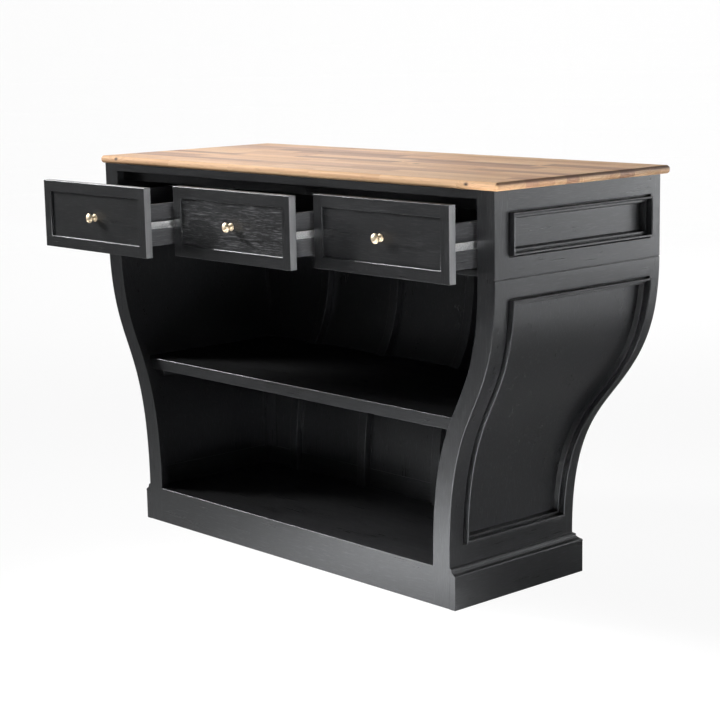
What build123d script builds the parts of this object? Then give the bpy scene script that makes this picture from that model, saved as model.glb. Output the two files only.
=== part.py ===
from build123d import *

import os
from collections import namedtuple

# A bar counter with an open side that holds drawers and a shelf, and a panelled guests' side.
# Millimetres. +X runs to the right and +Y away from someone at the open side, +Z is up.
# The origin is on the floor under the middle of the plinth.

# Countertop
COUNTER_HEIGHT = 1000.0
TOP_LENGTH = 1500.0
TOP_DEPTH = 600.0
TOP_THICKNESS = 20.0
TOP_EDGE_RADIUS = 7.0
TOP_EDGE_LIMIT = 0.45
TOP_CORNER_RADIUS = 4.0
TOP_FRONT_OVERHANG = 6.5
TOP_BACK_OVERHANG = 22.5
TOP_END_OVERHANG = 14.5

# Storey of the drawers, above the curve
DRAWER_STOREY_HEIGHT = 195.0

# S-curve of the ends and of the back: how far the foot comes in, and how far each end of the curve is pulled
END_DROP = 150.5
END_UPPER_PULL = 346.0
END_LOWER_PULL = 431.0
BACK_DROP = 141.5
BACK_UPPER_PULL = 475.5
BACK_LOWER_PULL = 462.0
CURVE_FOOT_RISE = 5.0

# Plinth
PLINTH_HEIGHT = 77.5
PLINTH_THICKNESS = 18.0
PLINTH_MOULDING_HEIGHT = 22.5

# Front frame
STILE_WIDTH = 54.0
STILE_THICKNESS = 22.0
TOP_RAIL_HEIGHT = 20.0

# Frames of the ends and the back
FRAME_THICKNESS = 22.0
FRAME_WIDTH = 46.0
END_REAR_STILE_WIDTH = 35.0
BACK_SIDE_STILE_WIDTH = 40.0
MUNTIN_WIDTH = 40.0
BACK_BAYS = 5
RIB_WIDTH = 30.0
RIB_DEPTH = 18.0
SEAM_GROOVE = 2.5

# Panels in those frames, and the moulding round each: a groove, a bead that stands proud, a step and a foot
PANEL_RECESS = 16.0
PANEL_BACK_COVER = 2.0
PANEL_TONGUE = 6.0
MOULDING_GROOVE_WIDTH = 4.0
MOULDING_GROOVE_DEPTH = 10.0
BEAD_WIDTH = 5.5
BEAD_RISE = 11.5
MOULDING_STEP_WIDTH = 7.5
MOULDING_STEP_DEPTH = 2.5
MOULDING_FOOT_WIDTH = 3.0

# Floor, shelf and what carries them
FLOOR_HEIGHT = 95.0
FLOOR_THICKNESS = 18.0
SHELF_HEIGHT = 450.0
SHELF_THICKNESS = 30.0
SHELF_SETBACK = 4.0
CLEAT_WIDTH = 18.0
CLEAT_HEIGHT = 25.0
CLEAT_END_GAP = 40.0
BEARER_WIDTH = 40.0
BEARER_INSET = 225.0

# Carcass round the drawers
DECK_THICKNESS = 15.0
DECK_SETBACK = 2.0
DIVIDER_THICKNESS = 15.0
STRETCHER_HEIGHT = 48.0
STRETCHER_THICKNESS = 25.0
STRETCHER_SETBACK = 21.0
PACKER_RISE = 17.0

# Drawers
DRAWER_NAMES = ("left", "middle", "right")
DRAWER_OPENED = (237.0, 153.0, 84.0)
FRONT_THICKNESS = 20.0
FRONT_FRAME_WIDTH = 29.0
FRONT_RECESS = 5.5
FRONT_TONGUE = 6.0
FRONT_TONGUE_SETBACK = 3.0
FRONT_TONGUE_THICKNESS = 6.0
FRONT_SIDE_GAP = 2.1
FRONT_BETWEEN_GAP = 6.1
FRONT_TOP_GAP = 6.7
FRONT_DROP = 6.7
BOX_THICKNESS = 12.0
BOX_LIFT = 6.0
BOX_TOP_CLEARANCE = 22.0
BOX_BACK_CLEARANCE = 79.0
BOTTOM_THICKNESS = 6.0
BOTTOM_LIFT = 8.0
BOTTOM_GROOVE = 5.0

# Ball-bearing slides
SLIDE_SPACE = 10.0
SLIDE_SHEET = 1.2
CHANNEL_TIP_GAP = 2.0
RAIL_HEIGHT = 17.0
RAIL_SETBACK = 2.0
BALL_GAP = 3.8
CAGE_SHEET = 0.6
CAGE_STRIP_PLAY = 0.7
CAGE_WEB_PLAY = 0.3
CAGE_TIP_GAP = 2.4
CAGE_END_GAP = 4.0
CAGE_SPARE = 10.0
SLIDE_ENGAGED = 110.0

# Knobs and screws
KNOB_DIAMETER = 24.0
KNOB_PROJECTION = 26.0
KNOB_HEAD_HEIGHT = 12.0
KNOB_BRIM_HEIGHT = 6.5
KNOB_UNDERSIDE_SPREAD = 0.8
KNOB_CROWN_SPREAD = 0.8
KNOB_STEM_DIAMETER = 10.0
KNOB_FLANGE_DIAMETER = 22.0
KNOB_FLANGE_THICKNESS = 5.0
KNOB_SCREW_DIAMETER = 4.0
KNOB_SCREW_GRIP = 9.0
TOP_SCREW_DIAMETER = 5.0
TOP_SCREW_COVER = 8.0
TOP_SCREW_INSET = 113.5
TOP_SCREWS_PER_STRETCHER = 4
SCREW_HEAD_RATIO = 2.0
SCREW_HEAD_HEIGHT = 2.5
SCREW_CLEARANCE = 0.15

# Play between pieces that are fitted together
FIT = 0.2

# Heights and places that follow from the sizes
BODY_TOP = COUNTER_HEIGHT - TOP_THICKNESS
SEAM = BODY_TOP - DRAWER_STOREY_HEIGHT
PLINTH_TOP = PLINTH_HEIGHT + PLINTH_MOULDING_HEIGHT
CURVE_FOOT = PLINTH_TOP + CURVE_FOOT_RISE
BODY_LENGTH = TOP_LENGTH - 2 * TOP_END_OVERHANG
BODY_DEPTH = TOP_DEPTH - TOP_FRONT_OVERHANG - TOP_BACK_OVERHANG
HALF = BODY_LENGTH / 2
FOOT_HALF = HALF - END_DROP
FOOT_DEPTH = BODY_DEPTH - BACK_DROP
FRONT = -(FOOT_DEPTH + PLINTH_THICKNESS) / 2
BACK = FRONT + BODY_DEPTH
FOOT_BACK = FRONT + FOOT_DEPTH
BEHIND_STILE = FRONT + STILE_THICKNESS
INSIDE_HALF = HALF - FRAME_THICKNESS
INSIDE_BACK = BACK - FRAME_THICKNESS
DECK_TOP = SEAM + DECK_THICKNESS
DECK_FRONT = FRONT + max(STILE_THICKNESS, FRONT_THICKNESS) + DECK_SETBACK
STRETCHER_BOTTOM = BODY_TOP - STRETCHER_HEIGHT
STRETCHER_FRONT = BEHIND_STILE + STRETCHER_SETBACK
BAY_PITCH = 2 * INSIDE_HALF / BACK_BAYS
PANEL_THICKNESS = FRAME_THICKNESS - PANEL_RECESS - PANEL_BACK_COVER
MOULDING_WIDTH = MOULDING_GROOVE_WIDTH + BEAD_WIDTH + MOULDING_STEP_WIDTH + MOULDING_FOOT_WIDTH

OPENING_HALF = HALF - STILE_WIDTH
DRAWERS = len(DRAWER_NAMES)
FRONT_WIDTH = (2 * OPENING_HALF - 2 * FRONT_SIDE_GAP - (DRAWERS - 1) * FRONT_BETWEEN_GAP) / DRAWERS
DRAWER_PITCH = FRONT_WIDTH + FRONT_BETWEEN_GAP
FRONT_BOTTOM = SEAM - FRONT_DROP
FRONT_TOP = BODY_TOP - TOP_RAIL_HEIGHT - FRONT_TOP_GAP
FRONT_BACK = FRONT + FRONT_THICKNESS
BOX_HALF = (DRAWER_PITCH - DIVIDER_THICKNESS) / 2 - SLIDE_SPACE
BOX_BOTTOM = DECK_TOP + BOX_LIFT
BOX_TOP = STRETCHER_BOTTOM - BOX_TOP_CLEARANCE
BOX_BACK = INSIDE_BACK - BOX_BACK_CLEARANCE
SLIDE_HEIGHT = (BOX_BOTTOM + BOX_TOP) / 2
SLIDE_LENGTH = BOX_BACK - FRONT_BACK
DRAWER_TRAVEL = SLIDE_LENGTH - SLIDE_ENGAGED
CHANNEL_HEIGHT = RAIL_HEIGHT + 2 * (BALL_GAP + SLIDE_SHEET)
CAGE_HEIGHT = RAIL_HEIGHT + 2 * (BALL_GAP - CAGE_STRIP_PLAY)
CAGE_STRIP = BALL_GAP - 2 * CAGE_STRIP_PLAY
CAGE_LENGTH = SLIDE_ENGAGED - CAGE_SPARE
PANEL_FACE = FRONT + FRONT_RECESS

Storey = namedtuple("Storey", "bottom top opening_bottom opening_top")
UPPER = Storey(SEAM, BODY_TOP, SEAM + FRAME_WIDTH, BODY_TOP - FRAME_WIDTH)
LOWER = Storey(0, SEAM, PLINTH_TOP + FRAME_WIDTH, SEAM - FRAME_WIDTH)

# A panel's opening: near is its straight upright side, far(grow) gives its other side moved out by grow,
# push makes a face into a solid through the frame, and shell(a, b) is the layer between two depths.
Bay = namedtuple("Bay", "storey near far push shell")


# Basic shapes
def block(x0, x1, y0, y1, z0, z1):
    """Box between two corners."""
    return Pos((x0 + x1) / 2, (y0 + y1) / 2, (z0 + z1) / 2) * Box(x1 - x0, y1 - y0, z1 - z0)


def levels(z0, z1):
    """Everything within the length and depth of the body and its mouldings between two heights."""
    return block(-HALF - BEAD_RISE, HALF + BEAD_RISE, FRONT, BACK + BEAD_RISE, z0, z1)


def push_x(face, x0=-HALF, x1=HALF):
    """Solid from a face drawn as seen from the right end."""
    return extrude(Plane.YZ.offset(x0) * face, amount=x1 - x0, dir=(1, 0, 0))


def push_y(face, y0=FRONT, y1=BACK):
    """Solid from a face drawn as seen from the front."""
    return extrude(Plane.XZ.offset(-y0) * face, amount=y1 - y0, dir=(0, 1, 0))


def push_z(points, z0, z1):
    """Upright solid from the corners of its plan."""
    return extrude(Plane.XY.offset(z0) * make_face(Polyline(*points, close=True)), amount=z1 - z0)


def flip(shape):
    """The same piece on the other end."""
    return mirror(shape, about=Plane.YZ)


def both(shapes):
    """Pieces of the right end with their left twins."""
    return [*shapes, *[flip(shape) for shape in shapes]]


# The S-curve
def upright(at):
    """A straight side from the top to the floor."""
    return [Line((at, BODY_TOP), (at, 0))]


def outline(face, drop, upper_pull, lower_pull):
    """A side that is straight at the drawers, then bends in and straightens again above the plinth."""
    foot = face - drop
    bend = Bezier(
        (face, SEAM),
        (face, SEAM - upper_pull),
        (foot, CURVE_FOOT + lower_pull),
        (foot, CURVE_FOOT),
    )
    return [Line((face, BODY_TOP), (face, SEAM)), bend, Line((foot, CURVE_FOOT), (foot, 0))]


def end_outline(depth):
    """The right end's surface as seen from the front, moved depth into the body."""
    return outline(HALF - depth, END_DROP, END_UPPER_PULL, END_LOWER_PULL)


def back_outline(depth):
    """The back's surface as seen from the right end, moved depth into the body."""
    return outline(BACK - depth, BACK_DROP, BACK_UPPER_PULL, BACK_LOWER_PULL)


def reach(edges, height):
    """How far out an outline is at a height."""
    edge = next(e for e in edges if (e @ 1).Y <= height <= (e @ 0).Y)
    low, high = 0.0, 1.0
    for _ in range(50):
        middle = (low + high) / 2
        if (edge @ middle).Y > height:
            low = middle
        else:
            high = middle
    return (edge @ low).X


def strip(outer, inner):
    """Face between two outlines."""
    floor_line = Line(outer[-1] @ 1, inner[-1] @ 1)
    top_line = Line(inner[0] @ 0, outer[0] @ 0)
    return make_face([*outer, floor_line, *inner, top_line])


def field(edges, limit):
    """Face between an outline and an upright line."""
    return strip(edges, upright(limit))


def end_shell(near, far):
    """Layer of the right end between two depths below its surface."""
    return push_y(strip(end_outline(near), end_outline(far)))


def back_shell(near, far):
    """Layer of the back between two depths below its surface."""
    return push_x(strip(back_outline(near), back_outline(far)))


def inside(end_depth, back_depth):
    """The space within the ends and the back, set in by two depths."""
    right = push_y(field(end_outline(end_depth), 0))
    return (right + flip(right)) & push_x(field(back_outline(back_depth), FRONT))


# Frame, panel and moulding of one bay
def bay_space(bay, grow):
    """A bay's opening, straight through its frame, grown on all sides."""
    storey = bay.storey
    space = bay.push(field(bay.far(grow), bay.near - grow))
    return space & levels(storey.opening_bottom - grow, storey.opening_top + grow)


def bay_panel(bay, play=0.0):
    """A bay's panel with its tongues, or with play the groove that takes them."""
    layer = bay.shell(PANEL_RECESS - play, PANEL_RECESS + PANEL_THICKNESS + play)
    return layer & bay_space(bay, PANEL_TONGUE + play)


def mitre_wedge(bay, corners):
    """Space that holds one straight strip of a bay's moulding, from the corners of its face."""
    return bay.push(make_face(Polyline(*corners, close=True)))


def bay_ring(bay, near, far, high, low):
    """Ring inside a bay's opening, between two distances in from its edge and two depths."""
    return (bay_space(bay, -near) - bay_space(bay, -far)) & bay.shell(high, low)


def bay_moulding(bay):
    """Four mitred strips round a bay: a flat base on the panel, with a proud bead and a lower step on it."""
    storey = bay.storey
    width = MOULDING_WIDTH
    bead_far = MOULDING_GROOVE_WIDTH + BEAD_WIDTH
    step_far = bead_far + MOULDING_STEP_WIDTH
    base_top = MOULDING_GROOVE_DEPTH
    whole = bay_ring(bay, FIT, width, base_top, PANEL_RECESS - FIT)
    whole = whole + bay_ring(bay, MOULDING_GROOVE_WIDTH, bead_far, -BEAD_RISE, base_top)
    whole = whole + bay_ring(bay, bead_far, step_far, MOULDING_STEP_DEPTH, base_top)
    near, bottom, top = bay.near, storey.opening_bottom, storey.opening_top
    far_bottom, far_top = reach(bay.far(0), bottom), reach(bay.far(0), top)
    inner_near, inner_bottom, inner_top = near + width, bottom + width, top - width
    upper = mitre_wedge(
        bay,
        [(near, top), (inner_near, inner_top), (far_top - width, inner_top), (far_top, top)],
    )
    inner_far = far_bottom - width
    lower = mitre_wedge(
        bay,
        [(near, bottom), (inner_near, inner_bottom), (inner_far, inner_bottom), (far_bottom, bottom)],
    )
    side = mitre_wedge(
        bay,
        [(near, top), (inner_near, inner_top), (inner_near, inner_bottom), (near, bottom)],
    )
    return [whole & upper, whole & lower, whole & side, whole - upper - lower - side]


# Ends
def end_bay(storey):
    """The right end's opening in one storey."""
    return Bay(
        storey,
        FRONT + FRAME_WIDTH,
        lambda grow: back_outline(END_REAR_STILE_WIDTH - grow),
        lambda face: push_x(face, 0, HALF + BEAD_RISE),
        end_shell,
    )


def end_frame(storey):
    """Two stiles and two rails of the right end, grooved for the panel."""
    shell = end_shell(0, FRAME_THICKNESS) & levels(storey.bottom, storey.top)
    bay = end_bay(storey)
    middle = push_x(field(bay.far(0), bay.near), 0, HALF)
    rear = push_x(strip(back_outline(0), bay.far(0)), 0, HALF)
    members = [
        shell & block(0, HALF, BEHIND_STILE, bay.near, storey.bottom, storey.top),
        shell & rear,
        shell & middle & levels(storey.bottom, storey.opening_bottom),
        shell & middle & levels(storey.opening_top, storey.top),
    ]
    groove = bay_panel(bay, FIT)
    seam = block(HALF - SEAM_GROOVE, HALF, FRONT, BACK, SEAM - SEAM_GROOVE, SEAM)
    return [member - groove - seam for member in members]


# Back
def back_bays(storey):
    """The back's openings in one storey from left to right, the first one given by its right twin."""
    half_muntin = MUNTIN_WIDTH / 2

    def push(face):
        return push_y(face, FRONT, BACK + BEAD_RISE)

    edge_bay = Bay(
        storey,
        INSIDE_HALF - BAY_PITCH + half_muntin,
        lambda grow: end_outline(FRAME_THICKNESS + BACK_SIDE_STILE_WIDTH - grow),
        push,
        back_shell,
    )
    bays = []
    for index in range(1, BACK_BAYS - 1):
        left = -INSIDE_HALF + index * BAY_PITCH
        right = left + BAY_PITCH - half_muntin
        bays.append(
            Bay(storey, left + half_muntin, lambda grow, right=right: upright(right + grow), push, back_shell)
        )
    return edge_bay, bays


def for_each_back_bay(storey, make):
    """Pieces made for every bay of the back."""
    edge_bay, bays = back_bays(storey)
    pieces = both(make(edge_bay))
    for bay in bays:
        pieces.extend(make(bay))
    return pieces


def muntin_places():
    """Where the back's muntins stand along the length."""
    return [-INSIDE_HALF + index * BAY_PITCH for index in range(1, BACK_BAYS)]


def back_frame(storey):
    """Rails, side stiles and muntins of the back, grooved for the panels."""
    shell = back_shell(0, FRAME_THICKNESS)
    within = inside(FRAME_THICKNESS + FIT, 0)
    open_levels = levels(storey.opening_bottom, storey.opening_top)
    stile_strip = strip(
        end_outline(FRAME_THICKNESS + FIT),
        end_outline(FRAME_THICKNESS + BACK_SIDE_STILE_WIDTH),
    )
    side = shell & push_y(stile_strip) & open_levels
    members = [
        shell & within & levels(storey.bottom, storey.opening_bottom),
        shell & within & levels(storey.opening_top, storey.top),
        side,
        flip(side),
    ]
    for x in muntin_places():
        post = block(
            x - MUNTIN_WIDTH / 2,
            x + MUNTIN_WIDTH / 2,
            FRONT,
            BACK,
            storey.opening_bottom,
            storey.opening_top,
        )
        members.append(shell & post)
    grooves = for_each_back_bay(storey, lambda bay: [bay_panel(bay, FIT)])
    seam = block(-HALF, HALF, BACK - SEAM_GROOVE, BACK, SEAM - SEAM_GROOVE, SEAM)
    return [member - grooves - seam for member in members]


def back_ribs(play=0.0):
    """Curved battens inside the back, one behind each lower muntin, or with play the notches for them."""
    layer = back_shell(FRAME_THICKNESS + FIT, FRAME_THICKNESS + RIB_DEPTH + play)
    half = RIB_WIDTH / 2 + play
    return [
        layer & block(x - half, x + half, FRONT, BACK, FLOOR_HEIGHT, SEAM) for x in muntin_places()
    ]


# Plinth
def plinth_moulding_face(foot):
    """Section of the moulding on the plinth, out from the body's foot: a quarter round and a small bead."""

    def at(out, up):
        return (foot + out * PLINTH_THICKNESS, PLINTH_HEIGHT + up * PLINTH_MOULDING_HEIGHT)

    edges = [
        Line(at(0, 0), at(1, 0)),
        Line(at(1, 0), at(0.95, 0.07)),
        ThreePointArc(at(0.95, 0.07), at(0.79, 0.37), at(0.41, 0.5)),
        Line(at(0.41, 0.5), at(0.33, 0.52)),
        ThreePointArc(at(0.33, 0.52), at(0.37, 0.72), at(0.22, 0.84)),
        Line(at(0.22, 0.84), at(0, 1)),
        Line(at(0, 1), at(0, 0)),
    ]
    return make_face(edges)


def plinth_moulding():
    """Lengths on both ends and the back, mitred at the corners."""
    out_half = FOOT_HALF + PLINTH_THICKNESS
    out_back = FOOT_BACK + PLINTH_THICKNESS
    side_plan = [(FOOT_HALF, FRONT), (out_half, FRONT), (out_half, out_back), (FOOT_HALF, FOOT_BACK)]
    back_plan = [
        (-FOOT_HALF, FOOT_BACK),
        (FOOT_HALF, FOOT_BACK),
        (out_half, out_back),
        (-out_half, out_back),
    ]
    side = push_y(plinth_moulding_face(FOOT_HALF), FRONT, out_back)
    side = side & push_z(side_plan, 0, PLINTH_TOP)
    back = push_x(plinth_moulding_face(FOOT_BACK), -out_half, out_half)
    return [side, flip(side), back & push_z(back_plan, 0, PLINTH_TOP)]


# Countertop and its fixings
def top_screw_places():
    """Where the screws stand in the two stretchers."""
    first = TOP_SCREW_INSET - INSIDE_HALF
    spacing = -2 * first / (TOP_SCREWS_PER_STRETCHER - 1)
    rows = (STRETCHER_FRONT + STRETCHER_THICKNESS / 2, INSIDE_BACK - STRETCHER_THICKNESS / 2)
    return [(first + index * spacing, y) for y in rows for index in range(TOP_SCREWS_PER_STRETCHER)]


def screw(diameter, length, play=0.0):
    """A screw along +Z with its head below the origin, or with play the hole for its shank."""
    shank = Pos(0, 0, length / 2) * Cylinder(diameter / 2 + play, length)
    if play:
        return shank
    head = Pos(0, 0, -SCREW_HEAD_HEIGHT / 2) * Cylinder(SCREW_HEAD_RATIO * diameter / 2, SCREW_HEAD_HEIGHT)
    return shank + head


def top_screws(play=0.0):
    """The screws that hold the countertop, or their holes."""
    length = STRETCHER_HEIGHT + TOP_THICKNESS - TOP_SCREW_COVER + play
    one = screw(TOP_SCREW_DIAMETER, length, play)
    return [Pos(x, y, STRETCHER_BOTTOM) * one for x, y in top_screw_places()]


def countertop():
    """A board with eased corners and rounded edges, drilled from below."""
    front = FRONT - TOP_FRONT_OVERHANG
    board = block(-TOP_LENGTH / 2, TOP_LENGTH / 2, front, front + TOP_DEPTH, BODY_TOP, COUNTER_HEIGHT)
    board = fillet(board.edges().filter_by(Axis.Z), TOP_CORNER_RADIUS)
    rims = board.faces().sort_by(Axis.Z)
    rounding = min(TOP_EDGE_RADIUS, TOP_THICKNESS * TOP_EDGE_LIMIT)
    board = fillet(rims[0].edges() + rims[-1].edges(), rounding)
    return board - top_screws(SCREW_CLEARANCE)


def top_stretchers():
    """Two rails on edge under the countertop, at the front and at the back."""
    rails = [
        block(-INSIDE_HALF, INSIDE_HALF, y, y + STRETCHER_THICKNESS, STRETCHER_BOTTOM, BODY_TOP)
        for y in (STRETCHER_FRONT, INSIDE_BACK - STRETCHER_THICKNESS)
    ]
    return [rail - top_screws(SCREW_CLEARANCE) for rail in rails]


# Front frame
def front_stile(z0, z1):
    """The right front stile between two heights."""
    face = strip(end_outline(0), end_outline(STILE_WIDTH))
    return push_y(face, FRONT, BEHIND_STILE) & levels(z0, z1)


# Inside
def shelf():
    """The shelf, its ends and back cut to the curve and notched for the ribs."""
    front = BEHIND_STILE + SHELF_SETBACK
    board = block(-HALF, HALF, front, BACK, SHELF_HEIGHT - SHELF_THICKNESS, SHELF_HEIGHT)
    room = inside(FRAME_THICKNESS + FIT, FRAME_THICKNESS + FIT)
    return (board & room) - back_ribs(FIT)


def floor_panel():
    """The floor between the front base rail and the back."""
    board = block(-HALF, HALF, BEHIND_STILE, BACK, FLOOR_HEIGHT - FLOOR_THICKNESS, FLOOR_HEIGHT)
    return board & inside(FRAME_THICKNESS, FRAME_THICKNESS)


def support_cleats():
    """Battens on both ends under the shelf and under the floor."""
    layer = end_shell(FRAME_THICKNESS + FIT, FRAME_THICKNESS + CLEAT_WIDTH)
    front = BEHIND_STILE + CLEAT_END_GAP
    back = FOOT_BACK - FRAME_THICKNESS - CLEAT_END_GAP
    undersides = (SHELF_HEIGHT - SHELF_THICKNESS, FLOOR_HEIGHT - FLOOR_THICKNESS)
    return both([layer & block(0, HALF, front, back, z - CLEAT_HEIGHT, z) for z in undersides])


def floor_bearers():
    """Bearers from front to back that stand on the ground under the floor panel."""
    back = FOOT_BACK - FRAME_THICKNESS
    top = FLOOR_HEIGHT - FLOOR_THICKNESS
    outer = FOOT_HALF - BEARER_INSET
    return [
        block(x - BEARER_WIDTH / 2, x + BEARER_WIDTH / 2, BEHIND_STILE, back, 0, top)
        for x in (-outer, 0, outer)
    ]


# Drawers and slides
def drawer_places():
    """Middle of each drawer along the length."""
    return [(index - (DRAWERS - 1) / 2) * DRAWER_PITCH for index in range(DRAWERS)]


def slide_section(web, tip, sheet, flange, height, y0, y1):
    """Folded strip with an upright web of sheet thickness and two flanges that point from web to tip."""
    side = 1 if tip > web else -1
    whole = block(min(web, tip), max(web, tip), y0, y1, SLIDE_HEIGHT - height / 2, SLIDE_HEIGHT + height / 2)
    inner_web = web + side * sheet
    inner_half = height / 2 - flange
    hollow = block(
        min(inner_web, tip),
        max(inner_web, tip),
        y0,
        y1,
        SLIDE_HEIGHT - inner_half,
        SLIDE_HEIGHT + inner_half,
    )
    return whole - hollow


def slide_channel(box_face):
    """The cabinet's half of a slide that runs beside a box face on the right of its drawer."""
    web = box_face + SLIDE_SPACE
    tip = box_face + CHANNEL_TIP_GAP
    end = DECK_FRONT + SLIDE_LENGTH
    return slide_section(web, tip, SLIDE_SHEET, SLIDE_SHEET, CHANNEL_HEIGHT, DECK_FRONT, end)


def slide_rail(box_face):
    """The drawer's half of that slide, with the drawer shut."""
    tip = box_face + SLIDE_SPACE - SLIDE_SHEET - CAGE_SHEET - 2 * CAGE_WEB_PLAY
    start = FRONT_BACK + RAIL_SETBACK
    return slide_section(box_face, tip, SLIDE_SHEET, SLIDE_SHEET, RAIL_HEIGHT, start, BOX_BACK)


def ball_cage(box_face):
    """The strip that holds the balls between the two, with the drawer shut."""
    web = box_face + SLIDE_SPACE - SLIDE_SHEET - CAGE_WEB_PLAY
    tip = box_face + CAGE_TIP_GAP
    start = DECK_FRONT + CAGE_END_GAP + DRAWER_TRAVEL / 2
    return slide_section(web, tip, CAGE_SHEET, CAGE_STRIP, CAGE_HEIGHT, start, start + CAGE_LENGTH)


def slide_pair(make, middle):
    """One slide piece on each side of a drawer."""
    right = make(BOX_HALF)
    return [Pos(middle, 0, 0) * right, Pos(middle, 0, 0) * flip(right)]


def on_knob_axis(shape):
    """A shape along +Z laid so that it points out of the front, from the inner face of the box."""
    height = (FRONT_BOTTOM + FRONT_TOP) / 2
    return Pos(0, FRONT_BACK + BOX_THICKNESS, height) * Rot(90, 0, 0) * shape


def knob_screw_hole():
    """Hole for a knob's screw through the front's panel and the box, in the drawer's own place."""
    return on_knob_axis(screw(KNOB_SCREW_DIAMETER, FRONT_BACK + BOX_THICKNESS - PANEL_FACE, SCREW_CLEARANCE))


def drawer_front_frame():
    """Two stiles and two rails grooved for the panel."""
    half = FRONT_WIDTH / 2
    inner = half - FRONT_FRAME_WIDTH
    rail_low = FRONT_BOTTOM + FRONT_FRAME_WIDTH
    rail_high = FRONT_TOP - FRONT_FRAME_WIDTH
    members = [
        block(-half, -inner, FRONT, FRONT_BACK, FRONT_BOTTOM, FRONT_TOP),
        block(inner, half, FRONT, FRONT_BACK, FRONT_BOTTOM, FRONT_TOP),
        block(-inner, inner, FRONT, FRONT_BACK, FRONT_BOTTOM, rail_low),
        block(-inner, inner, FRONT, FRONT_BACK, rail_high, FRONT_TOP),
    ]
    groove = drawer_front_tongue(FIT)
    return [member - groove for member in members]


def drawer_front_tongue(play=0.0):
    """The plate whose rim is the panel's tongue, or with play the groove for it."""
    half = FRONT_WIDTH / 2 - FRONT_FRAME_WIDTH + FRONT_TONGUE + play
    rim = FRONT_FRAME_WIDTH - FRONT_TONGUE - play
    near = PANEL_FACE + FRONT_TONGUE_SETBACK
    far = near + FRONT_TONGUE_THICKNESS
    return block(-half, half, near - play, far + play, FRONT_BOTTOM + rim, FRONT_TOP - rim)


def drawer_front_panel():
    """The recessed panel with a tongue all round, drilled for the knob."""
    half = FRONT_WIDTH / 2 - FRONT_FRAME_WIDTH - FIT
    rim = FRONT_FRAME_WIDTH + FIT
    core = block(-half, half, PANEL_FACE, FRONT_BACK, FRONT_BOTTOM + rim, FRONT_TOP - rim)
    return core + drawer_front_tongue() - knob_screw_hole()


def drawer_bottom(play=0.0):
    """The bottom, let into the box, or with play the groove for it."""
    half = BOX_HALF - BOX_THICKNESS + BOTTOM_GROOVE + play
    rim = BOX_THICKNESS - BOTTOM_GROOVE - play
    low = BOX_BOTTOM + BOTTOM_LIFT
    return block(-half, half, FRONT_BACK + rim, BOX_BACK - rim, low - play, low + BOTTOM_THICKNESS + play)


def drawer_box():
    """Two sides with a front and a back board between them."""
    inner = BOX_HALF - BOX_THICKNESS
    boards = [
        block(-BOX_HALF, -inner, FRONT_BACK, BOX_BACK, BOX_BOTTOM, BOX_TOP),
        block(inner, BOX_HALF, FRONT_BACK, BOX_BACK, BOX_BOTTOM, BOX_TOP),
        block(-inner, inner, FRONT_BACK, FRONT_BACK + BOX_THICKNESS, BOX_BOTTOM, BOX_TOP),
        block(-inner, inner, BOX_BACK - BOX_THICKNESS, BOX_BACK, BOX_BOTTOM, BOX_TOP),
    ]
    groove = drawer_bottom(FIT)
    return [board - groove - knob_screw_hole() for board in boards]


def knob():
    """A turned mushroom knob on a flange, and the screw that comes through from inside the drawer."""
    head = KNOB_DIAMETER / 2
    stem = KNOB_STEM_DIAMETER / 2
    flange = KNOB_FLANGE_DIAMETER / 2
    top = KNOB_PROJECTION
    neck = top - KNOB_HEAD_HEIGHT
    brim = neck + KNOB_BRIM_HEIGHT
    edges = [
        Line((0, 0), (flange, 0)),
        Line((flange, 0), (flange, KNOB_FLANGE_THICKNESS / 2)),
        Line((flange, KNOB_FLANGE_THICKNESS / 2), (stem, KNOB_FLANGE_THICKNESS)),
        Line((stem, KNOB_FLANGE_THICKNESS), (stem, neck)),
        Bezier((stem, neck), (head * KNOB_UNDERSIDE_SPREAD, neck), (head, (neck + brim) / 2), (head, brim)),
        Bezier((head, brim), (head, top), (head * KNOB_CROWN_SPREAD, top), (0, top)),
        Line((0, top), (0, 0)),
    ]
    thickness = FRONT_BACK + BOX_THICKNESS - PANEL_FACE
    turned = revolve(Plane.XZ * make_face(edges), axis=Axis.Z)
    hole_length = thickness + KNOB_SCREW_GRIP + FIT
    hole = Pos(0, 0, -thickness) * screw(KNOB_SCREW_DIAMETER, hole_length, SCREW_CLEARANCE)
    turned = Pos(0, 0, thickness) * (turned - hole)
    return [
        on_knob_axis(turned),
        on_knob_axis(screw(KNOB_SCREW_DIAMETER, thickness + KNOB_SCREW_GRIP)),
    ]


def drawer_dividers():
    """Partitions between the drawers, which carry the slides of both neighbours."""
    places = drawer_places()
    middles = [(a + b) / 2 for a, b in zip(places, places[1:])]
    half = DIVIDER_THICKNESS / 2
    return [block(x - half, x + half, DECK_FRONT, INSIDE_BACK, DECK_TOP, STRETCHER_BOTTOM) for x in middles]


def slide_packers():
    """Blocks that bring the outer slides of the end drawers in from the ends."""
    face = drawer_places()[-1] + BOX_HALF + SLIDE_SPACE
    top = SLIDE_HEIGHT + CHANNEL_HEIGHT / 2 + PACKER_RISE
    return both([block(face, INSIDE_HALF, DECK_FRONT, DECK_FRONT + SLIDE_LENGTH, DECK_TOP, top)])


# Every node and its solids
def save(name, shapes):
    """Writes one node, made of one or more separate solids."""
    solids = [solid for shape in shapes for solid in shape.solids()]
    export_step(Compound(solids), f"parts/{name}.step")


def save_pair(name, shapes):
    """Writes a node of the right end and its twin on the left."""
    save(f"{name}_right", shapes)
    save(f"{name}_left", [flip(shape) for shape in shapes])


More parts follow.
